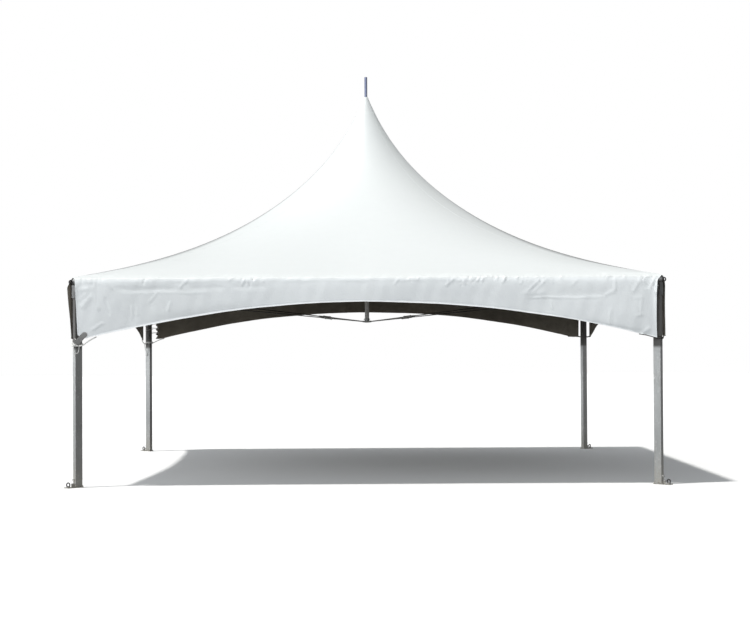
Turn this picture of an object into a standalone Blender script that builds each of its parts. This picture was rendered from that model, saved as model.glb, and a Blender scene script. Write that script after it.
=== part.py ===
"""A high-peak frame tent of one square bay, with a floating centre mast.

Four legs stand on foot plates and carry eave rails. Four stays run from the corners to the
foot of the mast, and hold it up under the peak of the roof. The roof is four gores of coated
cloth, and an arched valance hangs from each eave.

Units are metres. The origin is on the ground under the mast, +Z is up and the front is -Y.
Each repeated piece is made once and turned about the mast in quarter turns.
"""

import math

import bmesh
import bpy
import numpy as np
from mathutils import Matrix, Vector

# Frame
LEG_HALF = 3.048  # from the mast to a leg's axis, along X and along Y: ten feet
LEG_LONG = 0.090  # a leg's section along the tent's diagonal
LEG_SHORT = 0.045  # a leg's section across the diagonal
LEG_EDGE = 0.004  # rounding of a leg's long edges
LEG_TOP = 2.105
RAIL_HALF = 3.072  # from the mast to an eave rail's axis
RAIL_HEIGHT = 2.154
RAIL_RADIUS = 0.030
RAIL_END = 0.050  # from the corner, where two rail axes cross, to a rail's end
SOCKET_RADIUS = 0.036  # outside of the sockets and of the splice sleeves
SOCKET_LENGTH = 0.170
ELBOW_RADIUS = 0.0351  # of the ball that closes the corner outside both sockets
SPLICE_LENGTH = 0.240
SLEEVE_WALL = 0.006  # wall of the rectangular sleeves over a leg's two ends
SLEEVE_BOTTOM = 1.985
CAP_TOP = 2.119
NECK_PLACE = 0.012  # from a leg's axis, outwards, to the neck between its cap and the elbow
NECK_RADIUS = 0.030

# Foot
PLATE_THICK = 0.008
PLATE_IN = 0.050  # from a leg's axis to the plate's inner edge
PLATE_OUT = 0.150
PLATE_WIDTH = 0.074
COLLAR_WALL = 0.004  # wall of the low collar round a leg's foot
COLLAR_TOP = 0.022
TAB_OUT = 0.082  # from a leg's axis to the outer edge of the tab beside it
TAB_TOP = 0.046
TAB_THICK = 0.008
FOOT_RING_PLACE = 0.122
FOOT_RING_RADIUS = 0.020
FOOT_RING_WIRE = 0.0065
SADDLE_HALF = 0.016  # half length of the weld block under the foot ring
SADDLE_WIDTH = 0.022
SADDLE_TOP = 0.017

# Corner ring for a guy rope
CORNER_RING_PLACE = 0.086
CORNER_RING_HEIGHT = 2.150
CORNER_RING_RADIUS = 0.018
CORNER_RING_WIRE = 0.007

# Mast and stays
MAST_RADIUS = 0.0265
MAST_BOTTOM = 1.7763
MAST_TOP = 4.390
CUP_RADIUS = 0.029
CUP_BOTTOM = 1.768
CUP_TOP = 1.800
BOSS_RADIUS = 0.013  # of the boss under the cup, which carries the ears
BOSS_BOTTOM = 1.747
CROWN_LOW = 4.315
CROWN_HIGH = 4.450
PIN_RADIUS = 0.0175
PIN_TOP = 4.765
EAR_THICK = 0.012
EAR_HOLE_RADIUS = 0.006
EAR_MARGIN = 0.011  # from an ear's hole to its end
MAST_EAR_PLACE = 0.026  # from the mast's axis to the hole in an ear
MAST_EAR_HEIGHT = 1.7585
MAST_EAR_TALL = 0.021
CORNER_EAR_PLACE = 0.076  # from a leg's axis, inwards, to the hole in the corner's ear
CORNER_EAR_HEIGHT = 2.092
CORNER_EAR_TALL = 0.034
FORK_BACK = 0.010  # of a fork's cheeks behind its pin
FORK_THROAT = 0.018  # from the pin to the bridge between the cheeks
FORK_END = 0.036
FORK_HALF = 0.010  # half height
CHEEK = 0.006
PIN_OUT = 0.003  # length of a fork's pin outside its cheeks
STAY_RADIUS = 0.005
SWAGE_RADIUS = 0.008
SWAGE_START = 0.030
SWAGE_END = 0.110
OVERLAP = 0.005  # of two rods that are joined end to end
INNER_ROD_RADIUS = 0.006
BOTTLE_RADIUS = 0.013
BOTTLE_START = 0.600  # from the mast's ear to the turnbuckle's bottle
BOTTLE_END = 0.715
ROD_END = 0.780

# Roof and valances
CLOTH = 0.006  # thickness of the cloth's solids
PEAK_HALF = 0.0240  # outer half width of the roof's opening round the pin
EAVE_SLOPE = 0.363
ROOF_CURVE = 0.9255
ROOF_BEND = 0.358
CORNER_CUT = 3.088  # half width at which the corners are cut off across the diagonal
SQUARE_FROM = 3.030  # half width from which a level section of the roof is a square
ARCH_CROWN = 1.928  # height of the valance's hem at its middle
ARCH_FALL = 0.0427  # fall of the hem for each square metre from the middle
HEM_CORNER = 0.055  # the valance's lower corners are cut off by this much

GAP = 0.0003  # between pieces that touch
QUARTER = math.pi / 2
CORNERS = ("back_right", "back_left", "front_left", "front_right")
SIDES = ("back", "left", "front", "right")
DIAGONAL = math.sqrt(2)


def clear_scene():
    """Remove what is in the scene, and return the collection for the parts."""
    for old in list(bpy.data.objects):
        bpy.data.objects.remove(old)
    parts = bpy.data.collections.new("marquee_tent")
    bpy.context.scene.collection.children.link(parts)
    return parts


PARTS = clear_scene()


def material(name, colour, roughness, metallic):
    """A plain Principled material."""
    made = bpy.data.materials.new(name)
    made.use_nodes = True
    shader = made.node_tree.nodes["Principled BSDF"]
    shader.inputs["Base Color"].default_value = (*colour, 1.0)
    shader.inputs["Roughness"].default_value = roughness
    shader.inputs["Metallic"].default_value = metallic
    made.diffuse_color = (*colour, 1.0)
    return made


ALUMINIUM = material("aluminium", (0.55, 0.56, 0.55), 0.42, 1.0)
RAIL_TUBE = material("rail_tube", (0.50, 0.51, 0.51), 0.45, 1.0)
CAST = material("cast_aluminium", (0.30, 0.30, 0.30), 0.55, 1.0)
GALVANISED = material("galvanised_steel", (0.42, 0.43, 0.43), 0.50, 1.0)
RING_STEEL = material("ring_steel", (0.16, 0.16, 0.17), 0.45, 1.0)
STAY_STEEL = material("stay_steel", (0.22, 0.22, 0.22), 0.40, 1.0)
PIN_STEEL = material("pin_steel", (0.30, 0.32, 0.42), 0.35, 1.0)
ROOF_CLOTH = material("roof_cloth", (0.90, 0.93, 0.92), 0.40, 0.0)
VALANCE_CLOTH = material("valance_cloth", (0.86, 0.89, 0.89), 0.45, 0.0)


def loose(name, bm):
    """An object that isn't in the parts' collection, from a bmesh."""
    mesh = bpy.data.meshes.new(name)
    bm.to_mesh(mesh)
    bm.free()
    made = bpy.data.objects.new(name, mesh)
    bpy.context.scene.collection.objects.link(made)
    return made


def block(low, high):
    """A box between two corners."""
    low, high = Vector(low), Vector(high)
    bm = bmesh.new()
    scale = Matrix.Diagonal((*(high - low), 1.0))
    bmesh.ops.create_cube(bm, size=1.0, matrix=Matrix.Translation((low + high) / 2) @ scale)
    return loose("block", bm)


def rod(start, end, radius, sides=16, spin=0.0):
    """A cylinder between the centres of its two ends, with its facets turned by spin."""
    start, end = Vector(start), Vector(end)
    along = end - start
    turn = along.to_track_quat("Z", "Y").to_matrix().to_4x4() @ Matrix.Rotation(spin, 4, "Z")
    bm = bmesh.new()
    bmesh.ops.create_cone(
        bm,
        cap_ends=True,
        segments=sides,
        radius1=radius,
        radius2=radius,
        depth=along.length,
        matrix=Matrix.Translation((start + end) / 2) @ turn,
    )
    return loose("rod", bm)


def ball(centre, radius):
    """A sphere of flat facets."""
    bm = bmesh.new()
    bmesh.ops.create_uvsphere(
        bm,
        u_segments=24,
        v_segments=12,
        radius=radius,
        matrix=Matrix.Translation(centre),
    )
    return loose("ball", bm)


def torus(centre, axis, radius, wire, around=24, across=8):
    """A ring with its axis along the given direction."""
    turn = Vector(axis).to_track_quat("Z", "Y").to_euler()
    bpy.ops.mesh.primitive_torus_add(
        location=centre,
        rotation=turn,
        major_radius=radius,
        minor_radius=wire,
        major_segments=around,
        minor_segments=across,
    )
    return bpy.context.object


def turned(profile, steps=48):
    """A solid of revolution about Z, from (radius, height) points down its outer side."""
    bm = bmesh.new()
    verts = [bm.verts.new((radius, 0.0, height)) for radius, height in profile]
    for a, b in zip(verts, verts[1:]):
        bm.edges.new((a, b))
    made = loose("turned", bm)
    screw = made.modifiers.new("turn", "SCREW")
    screw.steps = steps
    screw.render_steps = steps
    screw.use_merge_vertices = True
    screw.merge_threshold = 0.0001
    return made


def combine(base, others, operation):
    """Give the base a Boolean modifier for each of the other objects."""
    for other in others:
        step = base.modifiers.new(operation.lower(), "BOOLEAN")
        step.operation = operation
        step.solver = "EXACT"
        step.object = other


def finished(base, add=(), cut=(), edge=0.0):
    """The base's mesh once the added pieces are joined and the cut ones taken away."""
    combine(base, add, "UNION")
    combine(base, cut, "DIFFERENCE")
    if edge:
        bevel = base.modifiers.new("edge", "BEVEL")
        bevel.width = edge
        bevel.segments = 2
        bevel.limit_method = "ANGLE"
        bevel.angle_limit = math.radians(60)
    bpy.context.view_layer.update()
    seen = base.evaluated_get(bpy.context.evaluated_depsgraph_get())
    mesh = bpy.data.meshes.new_from_object(seen)
    mesh.transform(base.matrix_world)
    for used in (base, *add, *cut):
        bpy.data.objects.remove(used)
    mesh.shade_smooth()
    mesh.set_sharp_from_angle(angle=math.radians(30))
    return mesh


def part(name, mesh, finish, place=Matrix.Identity(4)):
    """One named sub-part in the parts' collection."""
    if not mesh.materials:
        mesh.materials.append(finish)
    made = bpy.data.objects.new(name, mesh)
    made.location = place.to_translation()
    made.rotation_euler = place.to_euler()
    PARTS.objects.link(made)
    return made


def turn(quarter):
    """A turn about the mast by a number of quarter turns."""
    return Matrix.Rotation(quarter * QUARTER, 4, "Z")


def at_corners(stem, mesh, finish):
    """Four copies at the legs. The mesh's X runs outwards along the diagonal from the leg's axis."""
    own = Matrix.Translation((LEG_HALF, LEG_HALF, 0.0)) @ Matrix.Rotation(QUARTER / 2, 4, "Z")
    for quarter, corner in enumerate(CORNERS):
        part(f"{stem}_{corner}", mesh, finish, turn(quarter) @ own)


def at_sides(stem, mesh, finish):
    """Four copies at the eaves. The mesh is the back side's, in place."""
    for quarter, side in enumerate(SIDES):
        part(f"{stem}_{side}", mesh, finish, turn(quarter))


def leg_block(grow, low, high):
    """A block with a leg's section, made larger by grow on each of its four sides."""
    long, short = LEG_LONG / 2 + grow, LEG_SHORT / 2 + grow
    return block((-long, -short, low), (long, short, high))


def make_legs():
    """Rectangular posts from the foot plates up into the corner fittings."""
    bm = bmesh.new()
    size = Matrix.Diagonal((LEG_LONG, LEG_SHORT, LEG_TOP - PLATE_THICK - GAP, 1.0))
    middle = Matrix.Translation((0.0, 0.0, (LEG_TOP + PLATE_THICK + GAP) / 2))
    bmesh.ops.create_cube(bm, size=1.0, matrix=middle @ size)
    upright = [e for e in bm.edges if abs((e.verts[0].co - e.verts[1].co).z) > LEG_LONG]
    bmesh.ops.bevel(bm, geom=upright, offset=LEG_EDGE, segments=3, affect="EDGES", profile=0.5)
    at_corners("leg", finished(loose("leg", bm)), ALUMINIUM)


def foot_ring_centre():
    """The centre of the upright ring, which stands on the plate."""
    return FOOT_RING_PLACE, 0.0, PLATE_THICK + GAP + FOOT_RING_WIRE + FOOT_RING_RADIUS


def make_foot_plates():
    """A plate on the ground with a low collar round the leg, a tab beside it and a seat for the ring."""
    half = PLATE_WIDTH / 2
    buried = PLATE_THICK / 2
    plate = block((-PLATE_IN, -half, 0.0), (PLATE_OUT, half, PLATE_THICK))
    collar = leg_block(GAP + COLLAR_WALL, buried, COLLAR_TOP)
    room = leg_block(GAP, PLATE_THICK, TAB_TOP + GAP)
    tab = block((LEG_LONG / 2, -TAB_THICK / 2, buried), (TAB_OUT, TAB_THICK / 2, TAB_TOP))
    saddle = block(
        (FOOT_RING_PLACE - SADDLE_HALF, -SADDLE_WIDTH / 2, buried),
        (FOOT_RING_PLACE + SADDLE_HALF, SADDLE_WIDTH / 2, SADDLE_TOP),
    )
    seat = torus(foot_ring_centre(), (0.0, 1.0, 0.0), FOOT_RING_RADIUS, FOOT_RING_WIRE + GAP)
    mesh = finished(plate, add=(collar, tab, saddle), cut=(room, seat))
    at_corners("foot_plate", mesh, GALVANISED)


def make_foot_rings():
    """An upright ring at each plate's outer end, seated in its weld block."""
    ring = torus(foot_ring_centre(), (0.0, 1.0, 0.0), FOOT_RING_RADIUS, FOOT_RING_WIRE)
    at_corners("foot_ring", finished(ring), RING_STEEL)


def ear(inner, outer, height, tall, hole_place):
    """The block and the hole cutter of an upright ear in the plane of the diagonal."""
    low = (min(inner, outer), -EAR_THICK / 2, height - tall / 2)
    high = (max(inner, outer), EAR_THICK / 2, height + tall / 2)
    hole = rod((hole_place, -EAR_THICK, height), (hole_place, EAR_THICK, height), EAR_HOLE_RADIUS)
    return block(low, high), hole


def make_corner_fittings():
    """A sleeve over the leg, an elbow that takes two rails, and an ear for the stay."""
    crossing = Vector(((RAIL_HALF - LEG_HALF) * DIAGONAL, 0.0, RAIL_HEIGHT))
    arms = (Vector((-1, 1, 0)) / DIAGONAL, Vector((-1, -1, 0)) / DIAGONAL)
    sleeve = leg_block(GAP + SLEEVE_WALL, SLEEVE_BOTTOM, CAP_TOP)
    neck = rod((NECK_PLACE, 0.0, CAP_TOP - OVERLAP), (NECK_PLACE, 0.0, RAIL_HEIGHT), NECK_RADIUS)
    sockets = [
        rod(crossing, crossing + a * SOCKET_LENGTH, SOCKET_RADIUS, 24, spin)
        for a, spin in zip(arms, (0.0, 0.1))
    ]
    elbow = ball(crossing, ELBOW_RADIUS)
    plate, hole = ear(
        -LEG_LONG / 2,
        -CORNER_EAR_PLACE - EAR_MARGIN,
        CORNER_EAR_HEIGHT,
        CORNER_EAR_TALL,
        -CORNER_EAR_PLACE,
    )
    bores = [
        rod(crossing + a * (RAIL_END - GAP), crossing + a * (SOCKET_LENGTH + 0.01), RAIL_RADIUS + GAP, 24)
        for a in arms
    ]
    room = leg_block(GAP, SLEEVE_BOTTOM - 0.01, LEG_TOP + GAP)
    seat = torus(
        (CORNER_RING_PLACE, 0.0, CORNER_RING_HEIGHT),
        (0.0, 1.0, 0.0),
        CORNER_RING_RADIUS,
        CORNER_RING_WIRE + GAP,
    )
    mesh = finished(
        sleeve,
        add=(neck, *sockets, elbow, plate),
        cut=(room, *bores, hole, seat),
    )
    at_corners("corner_fitting", mesh, CAST)


def make_corner_rings():
    """An upright ring outside each corner, seated in the elbow."""
    centre = (CORNER_RING_PLACE, 0.0, CORNER_RING_HEIGHT)
    ring = torus(centre, (0.0, 1.0, 0.0), CORNER_RING_RADIUS, CORNER_RING_WIRE)
    at_corners("corner_ring", finished(ring), RING_STEEL)


def make_rails():
    """Round eave rails, each with its splice sleeve at the middle."""
    end = RAIL_HALF - RAIL_END
    line = (RAIL_HALF, RAIL_HEIGHT)
    rail = rod((-end, *line), (end, *line), RAIL_RADIUS, 24)
    half = SPLICE_LENGTH / 2
    splice = rod((-half, *line), (half, *line), SOCKET_RADIUS, 24)
    at_sides("rail", finished(rail, add=(splice,)), RAIL_TUBE)


def fork_pieces():
    """The pieces of a fork with its pin at the origin, whose shank points along +X."""
    inside = EAR_THICK / 2 + GAP
    outside = inside + CHEEK
    bridge = block((FORK_THROAT, -outside, -FORK_HALF), (FORK_END, outside, FORK_HALF))
    low = FORK_HALF - 0.001
    cheeks = [
        block((-FORK_BACK, y, -low), (FORK_THROAT + 0.002, y + CHEEK, low))
        for y in (inside, -outside)
    ]
    pin_half = outside + PIN_OUT
    pin = rod((0.0, -pin_half, 0.0), (0.0, pin_half, 0.0), EAR_HOLE_RADIUS - GAP)
    return bridge, *cheeks, pin


def stay_line():
    """The two pins of a stay in the corner's own frame: at the corner, and at the mast."""
    corner = Vector((-CORNER_EAR_PLACE, 0.0, CORNER_EAR_HEIGHT))
    mast = Vector((MAST_EAR_PLACE - LEG_HALF * DIAGONAL, 0.0, MAST_EAR_HEIGHT))
    return corner, mast


def laid(mesh, start, towards):
    """The mesh moved from the X axis onto the line between two points."""
    along = towards - start
    tilt = Matrix.Rotation(-math.atan2(along.z, abs(along.x)), 4, "Y")
    if along.x < 0:
        tilt = Matrix.Rotation(math.pi, 4, "Z") @ tilt
    mesh.transform(Matrix.Translation(start) @ tilt)
    return mesh


def make_stays():
    """Wire rope from a fork at each corner to the turnbuckle."""
    corner, mast = stay_line()
    length = (mast - corner).length
    bridge, *rest = fork_pieces()
    swage = rod((SWAGE_START, 0, 0), (SWAGE_END, 0, 0), SWAGE_RADIUS)
    rope = rod((SWAGE_END - OVERLAP, 0, 0), (length - ROD_END - GAP, 0, 0), STAY_RADIUS, 10)
    mesh = finished(bridge, add=(*rest, swage, rope))
    at_corners("stay", laid(mesh, corner, mast), STAY_STEEL)


def make_turnbuckles():
    """A fork and rod at the mast, the bottle that tightens the stay, and the stud it holds."""
    corner, mast = stay_line()
    bridge, *rest = fork_pieces()
    inner = rod((SWAGE_START, 0, 0), (BOTTLE_START + OVERLAP, 0, 0), INNER_ROD_RADIUS)
    bottle = rod((BOTTLE_START, 0, 0), (BOTTLE_END, 0, 0), BOTTLE_RADIUS)
    stud = rod((BOTTLE_END - OVERLAP, 0, 0), (ROD_END, 0, 0), SWAGE_RADIUS)
    mesh = finished(bridge, add=(*rest, inner, bottle, stud))
    at_corners("turnbuckle", laid(mesh, mast, corner), GALVANISED)


def make_mast():
    """The mast, the cup and boss with four ears that the stays hold, and the pin over the peak."""
    mast = rod((0, 0, MAST_BOTTOM), (0, 0, MAST_TOP - GAP), MAST_RADIUS, 24)
    part("mast", finished(mast), ALUMINIUM)

    cup = rod((0, 0, CUP_BOTTOM), (0, 0, CUP_TOP), CUP_RADIUS, 24)
    boss = rod((0, 0, BOSS_BOTTOM), (0, 0, MAST_BOTTOM - 2 * GAP), BOSS_RADIUS)
    room = rod((0, 0, MAST_BOTTOM - GAP), (0, 0, CUP_TOP + OVERLAP), MAST_RADIUS + GAP, 24)
    ears, holes = [], []
    for quarter in range(4):
        plate, hole = ear(
            BOSS_RADIUS - OVERLAP,
            MAST_EAR_PLACE + EAR_MARGIN,
            MAST_EAR_HEIGHT,
            MAST_EAR_TALL,
            MAST_EAR_PLACE,
        )
        about = turn(quarter) @ Matrix.Rotation(QUARTER / 2, 4, "Z")
        for piece in (plate, hole):
            piece.data.transform(about)
        ears.append(plate)
        holes.append(hole)
    part("mast_foot", finished(cup, add=(boss, *ears), cut=(room, *holes)), GALVANISED)

    low = CROWN_HIGH + GAP
    pin = rod((0, 0, low), (0, 0, PIN_TOP), PIN_RADIUS, 24)
    part("peak_pin", finished(pin, edge=0.003), PIN_STEEL)


def eave_half():
    """The half width at which the roof's slope runs into the curve over the rail."""
    return RAIL_HALF + (SOCKET_RADIUS + GAP + CLOTH) * math.sin(math.atan(EAVE_SLOPE))


def roof_height(half):
    """Height of the roof's outer face in the middle of a side, from its half width."""
    edge = eave_half()
    straight = ROOF_CURVE / (edge + ROOF_BEND) - EAVE_SLOPE
    low = RAIL_HEIGHT + (SOCKET_RADIUS + GAP + CLOTH) * math.cos(math.atan(EAVE_SLOPE))
    return low + ROOF_CURVE * np.log((edge + ROOF_BEND) / (half + ROOF_BEND)) - straight * (edge - half)


def meridian(rows, turn_rows):
    """Half widths, heights and outward normals down the roof, from the peak and round the rail."""
    edge = eave_half()
    half = PEAK_HALF + (edge - PEAK_HALF) * np.linspace(0, 1, rows) ** 1.6
    height = roof_height(half)
    fall = ROOF_CURVE / (half + ROOF_BEND) - ROOF_CURVE / (edge + ROOF_BEND) + EAVE_SLOPE
    lean = np.arctan(fall)
    angle = np.linspace(math.atan(EAVE_SLOPE), QUARTER, turn_rows + 1)[1:]
    reach = SOCKET_RADIUS + GAP + CLOTH
    half = np.append(half, RAIL_HALF + reach * np.sin(angle))
    height = np.append(height, RAIL_HEIGHT + reach * np.cos(angle))
    return half, height, np.append(lean, angle)


def corner_factor(half, u):
    """How far the corners of a level section are drawn in. The section is a superellipse, a circle at the
    peak that turns into a square at the eave. share is one over its power, from a half down to nothing."""
    share = 0.5 * np.clip(1 - (half / SQUARE_FROM) ** 2, 0, 1)
    power = 1 / np.maximum(share, 0.002)
    return (1 + np.abs(u) ** power) ** -share


def roof_face(half, height, across):
    """A grid of points on the back gore, whose rows are level."""
    half, height = half[:, None], height[:, None]
    u = across[None, :]
    factor = corner_factor(half, u)
    end = np.minimum(half, 2 * CORNER_CUT - half)
    x = (end * factor - GAP) * u
    y = half * factor
    return np.stack([x, y, np.broadcast_to(height, x.shape)], axis=-1)


def cloth_solid(outer, inner):
    """A closed solid between two grids of points, with a rim round their edges."""
    rows, columns = outer.shape[:2]
    points = np.concatenate([outer.reshape(-1, 3), inner.reshape(-1, 3)])
    index = np.arange(rows * columns).reshape(rows, columns)
    a, b, c, d = index[:-1, :-1], index[1:, :-1], index[1:, 1:], index[:-1, 1:]
    top = np.stack([a, b, c, d], axis=-1).reshape(-1, 4)
    under = top[:, ::-1] + rows * columns
    ring = np.concatenate([index[0, :-1], index[:-1, -1], index[-1, :0:-1], index[:0:-1, 0]])
    onward = np.roll(ring, -1)
    rim = np.stack([ring, onward, onward + rows * columns, ring + rows * columns], axis=-1)
    mesh = bpy.data.meshes.new("cloth")
    mesh.from_pydata(points.tolist(), [], np.concatenate([top, under, rim]).tolist())
    mesh.validate()
    return mesh


def outward(mesh):
    """The mesh with its faces turned outwards and shaded smooth."""
    bm = bmesh.new()
    bm.from_mesh(mesh)
    bmesh.ops.recalc_face_normals(bm, faces=bm.faces)
    bm.to_mesh(mesh)
    bm.free()
    mesh.shade_smooth()
    mesh.set_sharp_from_angle(angle=math.radians(40))
    return mesh


def make_roof():
    """Four gores, which meet at the hips."""
    half, height, lean = meridian(18, 8)
    across = np.sin(np.linspace(-QUARTER, QUARTER, 15))
    outer = roof_face(half, height, across)
    inner = roof_face(half - CLOTH * np.sin(lean), height - CLOTH * np.cos(lean), across)
    at_sides("roof", outward(cloth_solid(outer, inner)), ROOF_CLOTH)


def make_crown():
    """A cone on the mast's head, which carries the peak of the roof from inside."""
    half, height, lean = meridian(400, 1)
    under = CLOTH + 2 * GAP
    radius, level = half - under * np.sin(lean), height - under * np.cos(lean)
    levels = np.linspace(CROWN_HIGH, CROWN_LOW, 6)
    slope = [(float(np.interp(-z, -level, radius)), float(z)) for z in levels]
    bore = MAST_RADIUS + GAP
    inside = [(bore, CROWN_LOW), (bore, MAST_TOP), (0.0, MAST_TOP)]
    part("mast_crown", finished(turned([(0.0, CROWN_HIGH), *slope, *inside])), CAST)


def make_valances():
    """Flat bands of cloth under the eaves, with an arched hem and open ends."""
    outside = RAIL_HALF + SOCKET_RADIUS + GAP + CLOTH
    end = 2 * CORNER_CUT - outside
    top = RAIL_HEIGHT - GAP
    across = np.linspace(-(end - HEM_CORNER), end - HEM_CORNER, 33)
    hem = [(x, ARCH_CROWN - ARCH_FALL * x * x) for x in across]
    lift = hem[0][1] + HEM_CORNER
    outline = [(-end, top), (-end, lift), *hem, (end, lift), (end, top)]
    curve = bpy.data.curves.new("valance", "CURVE")
    curve.dimensions = "2D"
    curve.fill_mode = "BOTH"
    curve.extrude = CLOTH / 2
    spline = curve.splines.new("POLY")
    spline.points.add(len(outline) - 1)
    for point, (x, z) in zip(spline.points, outline):
        point.co = (x, z, 0.0, 1.0)
    spline.use_cyclic_u = True
    sheet = bpy.data.objects.new("valance", curve)
    bpy.context.scene.collection.objects.link(sheet)
    sheet.location = (0.0, outside - CLOTH / 2, 0.0)
    sheet.rotation_euler = (QUARTER, 0.0, 0.0)
    mesh = finished(sheet)
    bm = bmesh.new()
    bm.from_mesh(mesh)
    bmesh.ops.remove_doubles(bm, verts=bm.verts, dist=0.0001)
    bm.to_mesh(mesh)
    bm.free()
    at_sides("valance", outward(mesh), VALANCE_CLOTH)


make_legs()
make_foot_plates()
make_foot_rings()
make_corner_fittings()
make_corner_rings()
make_rails()
make_stays()
make_turnbuckles()
make_mast()
make_crown()
make_roof()
make_valances()
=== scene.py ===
# %% [markdown]
# # Dressing a high-peak frame tent
#
# The tent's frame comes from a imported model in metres, with +Z up and the front towards -Y. This lesson
# gives its parts their finishes, makes the roof and the valances again as real sheets, and adds ropes,
# eyelets, bolts and nuts where the frame carries them. Nearly every shape is a function of two
# parameters, worked out for a whole grid at once.

import math

import bmesh
import bpy
import numpy as np
from mathutils import Matrix, Vector


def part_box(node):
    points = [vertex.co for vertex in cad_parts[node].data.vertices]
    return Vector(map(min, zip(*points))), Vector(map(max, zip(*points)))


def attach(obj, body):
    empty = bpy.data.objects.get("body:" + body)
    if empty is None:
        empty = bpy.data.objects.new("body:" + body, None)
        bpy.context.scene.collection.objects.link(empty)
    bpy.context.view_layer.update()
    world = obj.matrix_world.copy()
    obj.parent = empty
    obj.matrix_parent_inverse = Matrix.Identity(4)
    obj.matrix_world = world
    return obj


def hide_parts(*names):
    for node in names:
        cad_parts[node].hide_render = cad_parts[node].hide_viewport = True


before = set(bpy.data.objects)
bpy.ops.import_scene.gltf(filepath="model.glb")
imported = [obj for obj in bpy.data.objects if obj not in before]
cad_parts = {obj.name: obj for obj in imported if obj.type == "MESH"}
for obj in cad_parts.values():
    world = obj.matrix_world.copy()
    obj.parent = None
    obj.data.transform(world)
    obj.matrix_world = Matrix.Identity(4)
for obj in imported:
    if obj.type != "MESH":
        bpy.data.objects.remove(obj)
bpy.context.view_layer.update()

# %% [markdown]
# ## The camera
#
# A long lens stands far off at chest height. Its place and turn were worked out from where the feet, the
# eave's corners and the peak lie in the photograph.

# %% Camera
FOCAL_PIXELS = 1731.45
PICTURE_WIDTH = 750
EYE = Vector((-0.0713, -21.2366, 1.4973))
YAW = 0.00799  # radians, towards +X
PITCH = 0.01788  # upwards
ROLL = -0.00536


def add_object(name, data):
    """A new object in the scene."""
    made = bpy.data.objects.new(name, data)
    bpy.context.scene.collection.objects.link(made)
    return made


def make_camera():
    """A camera rolled about its own axis, raised to look along +Y and up, and turned towards +X."""
    data = bpy.data.cameras.new("camera")
    data.lens = FOCAL_PIXELS / PICTURE_WIDTH * data.sensor_width
    data.clip_end = 200.0
    camera = add_object("camera", data)
    raised = Matrix.Rotation(math.pi / 2 + PITCH, 4, "X") @ Matrix.Rotation(ROLL, 4, "Z")
    camera.matrix_world = Matrix.Translation(EYE) @ Matrix.Rotation(-YAW, 4, "Z") @ raised
    bpy.context.scene.camera = camera
    return camera


print("lens", round(make_camera().data.lens, 2), "mm")

# %% [markdown]
# ## Sizes that the frame gives
#
# The cloth and the ropes have to meet the frame, so their driving sizes are read from it.


# %% Sizes from the frame
def centre(node):
    """The middle of a node's box."""
    low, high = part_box(node)
    return (low + high) / 2


MM = 0.001
LEG_HALF = centre("leg_back_right").x  # from the mast to a leg's axis, along X and along Y
LEG_LONG = 0.090  # a leg's section along the diagonal
LEG_SHORT = 0.045
RAIL_HALF = centre("rail_back").y
RAIL_HEIGHT = centre("rail_back").z
EAVE_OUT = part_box("valance_back")[1].y  # outside of the hanging cloth
EAVE_REACH = EAVE_OUT - RAIL_HALF  # radius of the cloth's curve over the rail
CORNERS = ("back_right", "back_left", "front_left", "front_right")
SIDES = ("back", "left", "front", "right")
print(f"legs at {LEG_HALF:.3f}, rails at {RAIL_HALF:.3f} and {RAIL_HEIGHT:.3f}, cloth at {EAVE_OUT:.4f}")

# %% [markdown]
# ## Surfaces from arrays
#
# A patch is a grid of points with its faces, and every builder gives a list of patches. In a piece,
# points that fall together are merged, so seams close and a ring that shrinks to a point is a pole.


# %% Patches and pieces
def clamp(values):
    """Values kept between 0 and 1."""
    return np.clip(values, 0, 1)


def joined(*parts):
    """Points from their coordinates."""
    return np.stack(np.broadcast_arrays(*parts), axis=-1)


def cell_corners(grid):
    """The four corners of every cell of a grid."""
    return grid[:-1, :-1], grid[1:, :-1], grid[1:, 1:], grid[:-1, 1:]


def patch(points, closed=False, slot=0):
    """A (rows, columns, 3) grid's points, quads, UVs and slot. closed joins the last column to the first. U
    runs across the columns and V down the rows, from 0 to 1."""
    rows, columns = points.shape[:2]
    index = np.arange(rows * columns).reshape(rows, columns)
    if closed:
        index = np.concatenate([index, index[:, :1]], axis=1)
    quads = joined(*cell_corners(index)).reshape(-1, 4)
    v, u = np.meshgrid(np.linspace(0, 1, rows), np.linspace(0, 1, index.shape[1]), indexing="ij")
    uvs = np.stack(cell_corners(joined(u, v)), axis=-2)
    return [(points.reshape(-1, 3), quads, uvs.reshape(-1, 2), slot)]


def mesh_object(name, patches, materials, sharp=35.0, merge=1e-5):
    """One object from patches, smooth but for edges sharper than an angle in degrees."""
    points, quads, uvs, slots = zip(*patches)
    starts = np.cumsum([0] + [len(p) for p in points])
    mesh = bpy.data.meshes.new(name)
    faces = np.concatenate([q + start for q, start in zip(quads, starts)])
    mesh.from_pydata(np.concatenate(points).tolist(), [], faces.tolist())
    slots = np.repeat(np.array(slots, np.int32), [len(q) for q in quads])
    mesh.polygons.foreach_set("material_index", slots)
    layer = mesh.uv_layers.new(name="UVMap")
    layer.data.foreach_set("uv", np.concatenate(uvs).astype(np.float32).ravel())
    bm = bmesh.new()
    bm.from_mesh(mesh)
    bmesh.ops.remove_doubles(bm, verts=bm.verts, dist=merge)
    bm.to_mesh(mesh)
    bm.free()
    mesh.shade_smooth()
    mesh.set_sharp_from_angle(angle=math.radians(sharp))
    for material in materials:
        mesh.materials.append(material)
    return add_object(name, mesh)


def about_mast(points, quarter):
    """Points turned about the mast by a number of quarter turns."""
    cos, sin = ((1, 0), (0, 1), (-1, 0), (0, -1))[quarter]
    x, y, z = np.moveaxis(points, -1, 0)
    return joined(cos * x - sin * y, sin * x + cos * y, z)


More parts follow.
